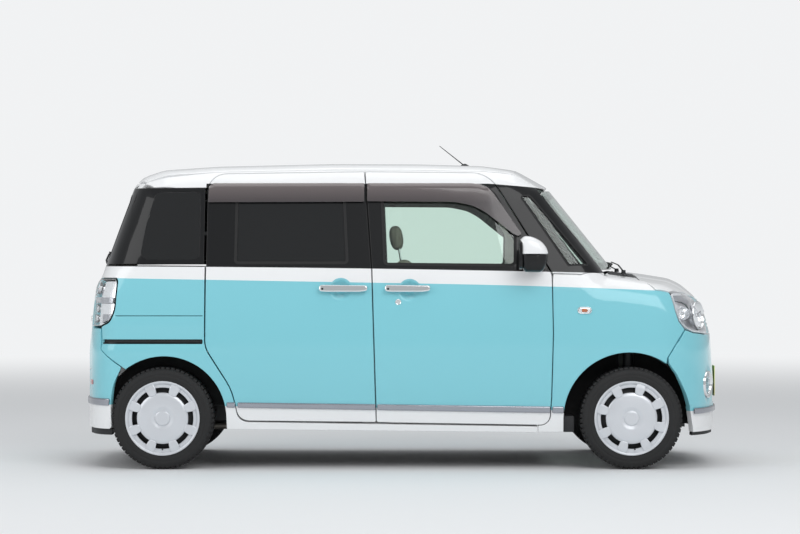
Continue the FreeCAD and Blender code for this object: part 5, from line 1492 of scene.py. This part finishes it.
cup = turned([
    (0.0165, 0.048), (0.0185, 0.0455), (0.004, 0.041), (0.001, 0.02), (0.001, 0.0), (-0.001, 0.0),
    (0.0, 0.043)], 40)
lamp_disc = turned([
    (0.002, 0.0), (0.002, 0.04), (0.008, 0.039), (0.014, 0.032), (0.017, 0.018), (0.018, 0.0)], 32)
amber = finish_with("amber_lens", srgb(240, 130, 25), 0.08, Transmission_Weight=0.5, Coat_Weight=0.6)
grained(amber, 300.0, 0.3, 0.001, 1.0)
lamp_grey = moulded("lamp_bezel", srgb(178, 180, 184), 0.3, 300.0, 0.08, 0.0005, 0.08, 0.7)
lamp_seats = []
for u, v, size in ((0.626, 0.952, 0.84), (0.62, 0.843, 0.55), (0.62, 0.788, 0.55)):
    seat_point, seat_out = (place[0] for place in TAIL_WRAP(np.array([u]), np.array([v])))
    lamp_seats.append(facing(Vector(seat_point - seat_out * 0.0195), Vector(seat_out))
                      @ Matrix.Scale(size, 4))
red_disc, clear_disc, amber_disc = (moved(lamp_disc, spot) for spot in lamp_seats)
for name, parts, material, replaced in (
        ("tail_lamp_covers", [tail_cover], lens_clear, "tail_lamps"),
        ("tail_lamp_seals", [tail_seal], rubber, None),
        ("tail_lamp_housings", [tail_back, *(moved(cup, spot) for spot in lamp_seats)], lamp_silver, None),
        ("tail_lamp_bands", [tail_band, tail_net], lamp_grey, None),
        ("tail_lamp_reds", [red_disc], red_lens, None),
        ("tail_lamp_whites", [clear_disc], lens_clear, None),
        ("tail_lamp_ambers", [amber_disc], amber, None)):
    piece(name, pair(*parts), material, replaced=replaced)

# ---- Bright strips ----
# Chromed mouldings clipped along the doors and round both bumpers between the two colours.


def strip_line(x_low, x_high):
    """A side strip between two places along the car; it narrows towards the front."""
    top = [0.3405 - 0.013 * x for x in (x_low, x_high)]
    foot = [0.309 - 0.017 * x for x in (x_low, x_high)]
    return outline([(x_low, foot[0], 0.004), (x_high, foot[1], 0.004), (x_high, top[1], 0.004),
                    (x_low, top[0], 0.004)])


def strip(place, line):
    """A strip standing 9 mm proud along an outline."""
    return patch(place, [line], -0.009, -0.0003, cell=0.012, roll=0.0055)


strip_metal = moulded("strip_metal", (0.4, 0.41, 0.45), 0.2, 900.0, 0.04, 0.0003, 0.06, 1.0)
front_strip, *side_strips = (strip(SIDE, strip_line(x_low, x_high)) for x_low, x_high in (
    (-0.1365, 0.771), (-0.868, -0.145), (-0.925, -0.88), (0.7805, 0.841)))
for side in ("right", "left"):
    piece(f"front_door_strip_{side}", on_side(side, front_strip), strip_metal,
          f"door_front_{side}")
low, high = wrapped([("side", 1.532, 0.286, 0.008), ("side", 1.53, 0.316, 0.008)], 1)
nose_strip = strip(NOSE_WRAP, outline([low, *both_halves([low, high])[3:1:-1], high]))
high, low = wrapped([("side", -1.541, 0.334, 0.008), ("side", -1.536, 0.371, 0.008)], -1)
tail_strip = strip(TAIL_WRAP, outline([low, *both_halves([low, high])[3:1:-1], high]))
piece("body_strips", [*pair(*side_strips), nose_strip, tail_strip], strip_metal)

# ---- Door handles ----
# Cast pull bars over round cups, held at both ends, with a lock barrel under each front one.

HANDLES = {"door_front": (-0.097, 0.141, 0.946), "door_slide": (-0.441, -0.187, 0.946)}
lock = turned([
    (-0.004, 0.0), (-0.004, 0.0155), (0.003, 0.0155), (0.0045, 0.014), (0.0035, 0.0115), (0.002, 0.0105),
    (0.002, 0.0)], 28)
keyhole = turned([(-0.001, 0.0), (-0.001, 0.006), (0.0006, 0.006), (0.001, 0.005), (0.001, 0.0)], 16)
for name, (rear_end, front_end, z) in HANDLES.items():
    bar = outline([
        (rear_end, z - 0.017, 0.015), (rear_end + 0.04, z - 0.02, 0.1), (front_end - 0.04, z - 0.02, 0.1),
        (front_end, z - 0.014, 0.013), (front_end, z + 0.014, 0.013), (rear_end, z + 0.017, 0.015)])
    parts = [patch(SIDE, [bar], -0.032, -0.018, cell=0.008, roll=0.0065)]
    for a, b in ((rear_end + 0.006, rear_end + 0.046), (front_end - 0.052, front_end - 0.006)):
        foot = oblong(a, b, z - 0.013, z + 0.013, 0.01)
        parts.append(patch(SIDE, [foot], -0.0205, -0.0003, cell=0.012, roll=0.002))
    if name == "door_front":
        parts.append(moved(lock, at_place(*on_body(SIDE, [(-0.0262, 0.877)])[0])))
    keyhole_spot = at_place(*(on_body(SIDE, [(rear_end + 0.018, z)])[0] - [0, 0.0325, 0]))
    for side in ("right", "left"):
        body = f"{name}_{side}" if name == "door_front" else "root"
        piece(f"{name}_handle_{side}", on_side(side, *parts), chrome, body, angle=40)
        piece(f"{name}_keyhole_{side}", on_side(side, moved(keyhole, keyhole_spot)), rubber,
              body)

# ---- Side turn lamps ----
# Small oval repeaters on the front fenders: a bright rim, a clear cover and an amber lamp.

MARKER_X, MARKER_Z = 0.949, 0.833
FENDER_SIDE = SIDE_OF["whole"]
marker_line = oblong(MARKER_X - 0.037, MARKER_X + 0.037, MARKER_Z - 0.018, MARKER_Z + 0.018, 0.0175, 0.006)
bulb_line = oblong(MARKER_X - 0.016, MARKER_X + 0.016, MARKER_Z - 0.009, MARKER_Z + 0.009, 0.009, 0.004)
inner_line = shrunk(marker_line, 0.0043)
for name, loops, front, back, cell, roll, material in (
        ("marker_rims", [marker_line, shrunk(marker_line, 0.004)], -0.006, -0.0003, 0.01, 0.0015, chrome),
        ("marker_covers", [inner_line], -0.01, -0.006, 0.008, 0.004, lens_clear),
        ("marker_seats", [inner_line], -0.0015, -0.0003, 0.012, 0.0005, lamp_silver),
        ("marker_bulbs", [bulb_line], -0.0055, -0.0018, 0.006, 0.003, amber)):
    piece(name, pair(patch(FENDER_SIDE, loops, front, back, cell, roll)), material)

# ---- Door rails ----
# The steel channel that the sliding door's rear roller runs in, behind its slot, and the
# folded steel behind the pressed seam over it; both are drawn black as painted shade, and
# the rail is drawn glossy black as painted shade too.

channel_line = outline(round_tail([
    (-1.046, 0.64, 0.0), (-1.046, 0.82, 0.0), (-1.488, 0.82, 0.0), (-1.488, 0.735, 0.0), (-1.582, 0.735, 0.0),
    (-1.582, 0.64, 0.0)]))
channel = patch(TAIL_WRAP, [channel_line], 0.018, 0.024, cell=0.05)
rail_ends = [corner[0] for corner in round_tail([(-1.57, 0.66, 0), (-1.055, 0.66, 0)])]
rail_path = on_body(TAIL_WRAP, [(u, 0.6605) for u in np.linspace(*rail_ends, 30)]) * [1, 0.979, 1]
# The rail and the channel behind the slot and the seam are black: painted shade inside them.
piece("slide_rails_painted_shade", pair(tube(rail_path, 0.005, 8)), black_gloss)
piece("rail_channels_painted_shade", pair(channel), black_plastic)

# ---- Door mirrors ----
# A white cap over a black housing on a short foot at the front of each door's window, with
# the glass facing back.

cap_line = outline([
    (0.6045, 1.127, 0.004), (0.755, 1.127, 0.004), (0.746, 1.16, 0.08), (0.722, 1.19, 0.08),
    (0.69, 1.21, 0.1), (0.655, 1.2215, 0.1), (0.628, 1.2215, 0.03), (0.6045, 1.2, 0.02)], 0.007)
housing_line = outline([
    (0.606, 1.126, 0.004), (0.61, 1.07, 0.08), (0.63, 1.034, 0.02), (0.718, 1.032, 0.03),
    (0.738, 1.056, 0.06), (0.75, 1.088, 0.1), (0.7525, 1.126, 0.004)], 0.007)
MIRROR_INNER, MIRROR_OUTER = -0.738, -0.8695


def bulged(line, centre, inner, outer, rows=20, square=3.2):
    """A closed shell over an outline (x, z), rounded towards its inner and outer ends."""
    line = line if area_of(line) > 0 else line[::-1]
    shares = np.sin(np.linspace(-math.pi / 2, math.pi / 2, rows))[1:-1]
    widths = (1 - np.abs(shares) ** square) ** (1 / square)
    centre = np.array(centre)
    rings = [np.insert(centre + (line - centre) * width, 1, (inner + outer) / 2 + share * (outer - inner) / 2,
                       1) for share, width in zip(shares, widths)]
    count = len(line)
    ends = [np.arange(count)[None, ::-1], (np.arange(count) + (len(rings) - 1) * count)[None]]
    return np.concatenate(rings), [sleeve(len(rings), count), *ends]


mirror_cap = bulged(cap_line, (0.672, 1.13), MIRROR_INNER, MIRROR_OUTER)
mirror_shell = bulged(housing_line, (0.675, 1.122), MIRROR_INNER, MIRROR_OUTER)
mirror_foot = tube(spaced([(0.7, -0.672, 1.083), (0.697, -0.705, 1.083), (0.69, -0.76, 1.078)], 0.01), 0.03,
                   20, flat=0.55)
base_line = outline([(0.604, 1.062, 0.01), (0.745, 1.061, 0.02), (0.7, 1.122, 0.02), (0.612, 1.15, 0.01)])
mirror_base = patch(SIDE, [base_line], -0.01, -0.0003, cell=0.02, roll=0.004)
MIRROR_FACE = on_plane((0.6035, 0, 0), (0, -1.0, 0), (0, 0, 1.0))
glass_line = outline([(0.752, 1.052, 0.02), (0.858, 1.058, 0.03), (0.858, 1.192, 0.03), (0.752, 1.196, 0.03)])
mirror_rim = patch(MIRROR_FACE, [shrunk(glass_line, -0.006), glass_line], -0.001, 0.014, cell=0.02,
                   roll=0.002)
mirror_glass = patch(MIRROR_FACE, [shrunk(glass_line, 0.0006)], 0.002, 0.006, cell=0.02, roll=0.0006)
silvered = finish_with("silvered_glass", (0.72, 0.75, 0.76), 0.02, 1.0)
for side in ("right", "left"):
    door = f"door_front_{side}"
    piece(f"mirror_cap_{side}", on_side(side, mirror_cap), white_paint, door, angle=30,
          replaced=f"mirror_{side}")
    piece(f"mirror_housing_{side}", on_side(side, mirror_shell, mirror_foot, mirror_base, mirror_rim),
          black_gloss, door, angle=30)
    piece(f"mirror_glass_{side}", on_side(side, mirror_glass), silvered, door)

# ---- Roof aerial ----
# A rubber foot and a thin tapered rod that leans back.

foot_at = np.array([0.3405, 0.0, 1.609])
rod_end = np.array([0.202, 0.0, 1.7275])
rod = spaced([foot_at + [-0.004, 0, 0.012], rod_end], 0.012)
foot_spot = at_place(*foot_at) @ Matrix.Diagonal((1.35, 0.8, 1, 1)) @ UPRIGHT
aerial_foot = turned([
    (-0.006, 0.0), (-0.006, 0.026), (0.004, 0.024), (0.014, 0.014), (0.02, 0.006), (0.022, 0.0)], 28)
aerial_rod = tube(rod, np.linspace(0.0032, 0.0018, len(rod)), 10)
piece("roof_aerial", [moved(aerial_foot, foot_spot), aerial_rod], black_plastic,
      replaced="antenna")

# ---- Seats ----
# Foam pads sewn into woven greige fabric: two seats in front and a split bench behind, each
# with a cushion, a leaning back and a headrest on two steel posts.

RIB_PITCH = 1100.0
weave, _, weave_out = group("plain_weave", [], ["Height"])
thread = place_in(weave)
across = maths(weave, "SINE", maths(weave, "MULTIPLY", thread[1], RIB_PITCH))
along = maths(weave, "SINE", maths(weave, "MULTIPLY", maths(weave, "ADD", thread[0], thread[2]), RIB_PITCH))
weave.links.new(maths(weave, "MAXIMUM", across, along), weave_out.inputs["Height"])


def woven(name, colour):
    """A plain weave: fine crossed ribs in the surface and a little mixed yarn in the colour."""
    material = moulded(name, colour, 0.86, 900.0, 0.15, 0.0005, 0.1, Sheen_Weight=0.25)
    ribs = material.node_tree.nodes.new("ShaderNodeGroup")
    ribs.node_tree = weave
    return raised(material, ribs.outputs["Height"], 0.35, 0.0008)


SWELL_MOST = 0.024                         # how far the pressure may push a pad's cover out


def stuffed(shell, front, channels, voxel=0.0125):
    """A foam pad: a closed shell swollen by pressure like cloth, then smoothed, with sewn
    channels pressed into the side that faces front. A channel is an axis, a place and a width."""
    item = bpy.data.objects.new("pad", mesh_of("pad", [shell]))
    scene.collection.objects.link(item)
    remesh = item.modifiers.new("even", "REMESH")
    remesh.mode = "VOXEL"
    remesh.voxel_size = voxel
    item.data = made_real(item)
    item.modifiers.clear()
    at_rest = points_of(item.data)
    cloth = item.modifiers.new("swell", "CLOTH")
    cloth.settings.use_pressure = True
    cloth.settings.uniform_pressure_force = 4
    cloth.settings.effector_weights.gravity = 0
    cloth.point_cache.frame_start = 1
    cloth.point_cache.frame_end = 20
    for frame_number in range(1, 21):
        scene.frame_set(frame_number)
    swollen = made_real(item)
    shift = points_of(swollen) - at_rest
    length = np.linalg.norm(shift, axis=1)[:, None]
    at_rest = at_rest + shift * np.minimum(1, SWELL_MOST / np.maximum(length, 1e-6))
    scene.frame_set(1)
    item.modifiers.clear()
    item.data.vertices.foreach_set("co", at_rest.ravel())
    item.data.update()
    smooth = item.modifiers.new("smooth", "SUBSURF")
    smooth.levels = smooth.render_levels = 1
    finished = made_real(item)
    points = points_of(finished)
    normals = np.empty(len(points) * 3)
    finished.vertex_normals.foreach_get("vector", normals)
    normals = normals.reshape(-1, 3)
    towards = np.clip(normals @ np.array(front), 0, 1) ** 0.5
    for axis, place, width in channels:
        groove = np.exp(-((points[:, axis] - place) / width) ** 2)
        points = points - normals * (0.006 * groove * towards)[:, None]
    faces = part_of(finished)[1]
    bpy.data.objects.remove(item)
    return points, faces


def leaning(size, round_off, centre, lean):
    """A rounded block leaning back by an angle."""
    spot = Matrix.Translation(centre) @ Matrix.Rotation(math.radians(-lean), 4, "Y")
    return moved(block(size, round_off, spans=3), spot)


seat_fabric = woven("seat_weave", srgb(168, 160, 146))
rest_fabric = woven("rest_weave", srgb(150, 142, 128))
UP, AHEAD = (0, 0, 1.0), (0.97, 0, 0.22)
PAD_CHANNELS = ((1, -0.45, 0.007), (1, -0.21, 0.007))
REAR_CHANNELS = ((1, -0.4, 0.007), (1, -0.12, 0.007))
SEATS = (
    ("front_cushions", (0.275, -0.33, 0.628), (0.396, 0.446, 0.108), 0.04, 3, UP,
     (*PAD_CHANNELS, (0, 0.345, 0.007))),
    ("front_backs", (0.044, -0.33, 0.878), (0.08, 0.44, 0.48), 0.038, 12.8, AHEAD,
     (*PAD_CHANNELS, (2, 0.98, 0.006))),
    ("front_headrests", (-0.037, -0.33, 1.218), (0.066, 0.216, 0.128), 0.03, 9, AHEAD, ()),
    ("rear_cushions", (-0.59, -0.262, 0.628), (0.39, 0.49, 0.108), 0.038, 3, UP, REAR_CHANNELS),
    ("rear_backs", (-0.82, -0.262, 0.862), (0.08, 0.49, 0.455), 0.036, 13.5, AHEAD,
     (*REAR_CHANNELS, (2, 0.95, 0.006))),
    ("rear_headrests", (-0.893, -0.262, 1.19), (0.062, 0.216, 0.118), 0.028, 9, AHEAD, ()),
)
for name, centre, size, round_off, lean, front, channels in SEATS:
    pad = stuffed(leaning(size, round_off, centre, lean), front, channels)
    material = rest_fabric if "rests" in name else seat_fabric
    node = "front_seats" if name.startswith("front") else "rear_seat"
    item = piece(name, pair(pad), material, angle=60, replaced=node)

seat_shell = moulded("seat_base", srgb(58, 56, 55), 0.55)
bases, rest_posts = [], []
for x, y, width, depth in ((0.275, -0.33, 0.34, 0.32), (-0.59, -0.262, 0.44, 0.28)):
    bases.append(block((depth, width, 0.145), 0.02, (x, y, 0.48)))
    for offset in (-0.42, 0.42):
        bases.append(block((depth + 0.1, 0.034, 0.03), 0.006, (x, y + offset * width, 0.385)))
        for ahead in (-0.1, 0.1):
            bases.append(block((0.06, 0.03, 0.06), 0.006, (x + ahead, y + offset * width, 0.415)))
bases.append(block((0.13, 0.03, 0.075), 0.014, (0.1, -0.58, 0.6)))
for x, y, z in ((-0.02, -0.33, 1.135), (-0.878, -0.262, 1.108)):
    for offset in (-0.055, 0.055):
        path = spaced([(x + 0.01, y + offset, z - 0.05), (x - 0.004, y + offset, z + 0.035)], 0.02)
        rest_posts.append(tube(path, 0.006, 12))
piece("seat_bases", pair(*bases), seat_shell)
piece("headrest_posts", pair(*rest_posts), chrome)

# ---- Dashboard and cabin fittings ----
# A moulded two-tone dashboard with a hooded dial pod, a dark screen, round air vents and a
# shift lever; sun visors and a mirror over the windscreen; a fabric roof lining.


def repaint(name, material):
    """Gives a CAD piece that stays in sight its finish."""
    nodes[name].data.materials.clear()
    nodes[name].data.materials.append(material)


repaint("dashboard", moulded("dash_grain", srgb(92, 88, 84), 0.62, 520.0, 0.35, 0.0008, 0.1))
pod_line = outline([(0.0, -0.045, 0.02), (0.15, -0.045, 0.02), (0.13, 0.018, 0.03), (0.0, 0.034, 0.02)], 0.01)
pod = moved(bulged(pod_line, (0.07, -0.005), -0.15, 0.15, 16, 5.0), at_place(0.655, -0.33, 1.012))
shelf = patch(on_plane((0, 0, 1.012), (0, -1.0, 0), (-1.0, 0, 0)), [oblong(-0.56, 0.56, -0.79, -0.705, 0.03)],
              -0.006, 0.006, cell=0.05, roll=0.005)
screen_glass = block((0.014, 0.235, 0.14), 0.006, (0.648, 0.0, 0.925))
radio_trim = block((0.01, 0.265, 0.25), 0.005, (0.66, 0.0, 0.88))
vent_ring = turned([
    (0.0, 0.03), (0.006, 0.031), (0.01, 0.036), (0.006, 0.041), (-0.006, 0.041), (-0.006, 0.03)], 36)
vent_slat = tube(spaced([(-0.028, -0.002, 0), (0.028, -0.002, 0)], 0.02), 0.0022, 6)
dash_dark = moulded("dash_dark", srgb(44, 43, 44), 0.5)
vent_slats = repeated(moved(vent_slat, at_place(0, 0, -0.018)), dash_dark, 4, step=(0, 0, 0.012))
vents = []
for y in (-0.52, -0.185, 0.185, 0.52):
    vent_spot = facing((0.645, y, 0.955), (-0.96, 0, 0.25))
    vents += [moved(vent_ring, vent_spot), moved(vent_slats, vent_spot)]
lever = tube(spaced([(0.655, -0.155, 0.835), (0.605, -0.155, 0.865), (0.585, -0.155, 0.885)], 0.01), 0.007,
             10)
knob = moved(turned([(-0.02, 0.0), (-0.02, 0.013), (0.0, 0.018), (0.018, 0.019), (0.03, 0.013), (0.033, 0.0)],
                    24), facing((0.58, -0.155, 0.892), (-0.5, 0, 0.86)))
dash_light = moulded("dash_light", srgb(190, 184, 172), 0.5)
piece("dash_fittings", [pod, *vents, lever, knob], dash_dark)
piece("dash_panels", [shelf, radio_trim], dash_light)
piece("dash_screen", [screen_glass], black_gloss)
wheel_grain = moulded("steering_grain", srgb(48, 47, 47), 0.5, 640.0, 0.3, 0.0006, 0.15)
repaint("steering_wheel", wheel_grain)
horn_pad = moved(turned([(-0.018, 0.0), (-0.018, 0.062), (0.006, 0.06), (0.018, 0.048), (0.024, 0.026),
                         (0.026, 0.0)], 40),
                 facing((0.57, -0.33, 0.95), (-0.87, 0, 0.49)) @ Matrix.Diagonal((1.25, 1, 0.95, 1)))
lower_spoke = tube(spaced([(0.572, -0.33, 0.944), (0.5, -0.33, 0.812)], 0.02), 0.017, 12, flat=0.5,
                   up=(-0.87, 0, 0.49))
piece("horn_pad", [horn_pad, lower_spoke], wheel_grain)
lining_cloth = moulded("roof_lining", srgb(214, 211, 204), 0.9, 1200.0, 0.3, 0.0006, 0.04)
lining_line = outline([
    (-1.3, -0.44, 0.08), (0.6, -0.44, 0.08), (0.64, 0.0, 0.6), (0.6, 0.44, 0.08), (-1.3, 0.44, 0.08)])
roof_lining = patch(TOP, [lining_line], 0.034, 0.042, cell=0.08)
piece("roof_lining", [roof_lining], lining_cloth)
sun_visor = block((0.155, 0.34, 0.016), 0.007, (0.53, -0.275, 1.51))
cabin_mirror = moved(block((0.02, 0.22, 0.062), 0.009), at_place(0.64, 0, 1.415))
mirror_stalk = tube(spaced([(0.65, 0, 1.415), (0.668, 0, 1.455), (0.672, 0, 1.478)], 0.01), 0.006, 10)
piece("sun_visors", pair(sun_visor), lining_cloth)
mirror_back = moulded("mirror_back", srgb(36, 36, 37), 0.5)
piece("cabin_mirror", [cabin_mirror, mirror_stalk], mirror_back)

# ---- Underneath ----
# Stone-guarded floor, moulded arch liners, satin black suspension and a cast, dull engine block.

under = {
    "floor_pan": moulded("stone_guard", srgb(46, 47, 48), 0.72, 260.0, 0.5, 0.0015, 0.2),
    "wheel_liners": moulded("arch_liner", srgb(20, 20, 21), 0.82, 420.0, 0.4, 0.0012, 0.2),
    "front_suspension": moulded("chassis_black", srgb(33, 34, 35), 0.48, 300.0, 0.2, 0.0005, 0.25, 0.3),
    "engine_block": moulded("cast_metal", srgb(104, 105, 104), 0.62, 180.0, 0.5, 0.0015, 0.25, 0.7),
    "exhaust": moulded("exhaust_steel", srgb(122, 118, 112), 0.45, 90.0, 0.2, 0.0008, 0.3, 0.85),
    "fuel_tank": moulded("tank_plastic", srgb(38, 39, 40), 0.55, 240.0, 0.2, 0.0008, 0.15),
}
for name in ("knuckle_left", "knuckle_right", "rear_axle"):
    under[name] = under["front_suspension"]
for name, material in under.items():
    repaint(name, material)
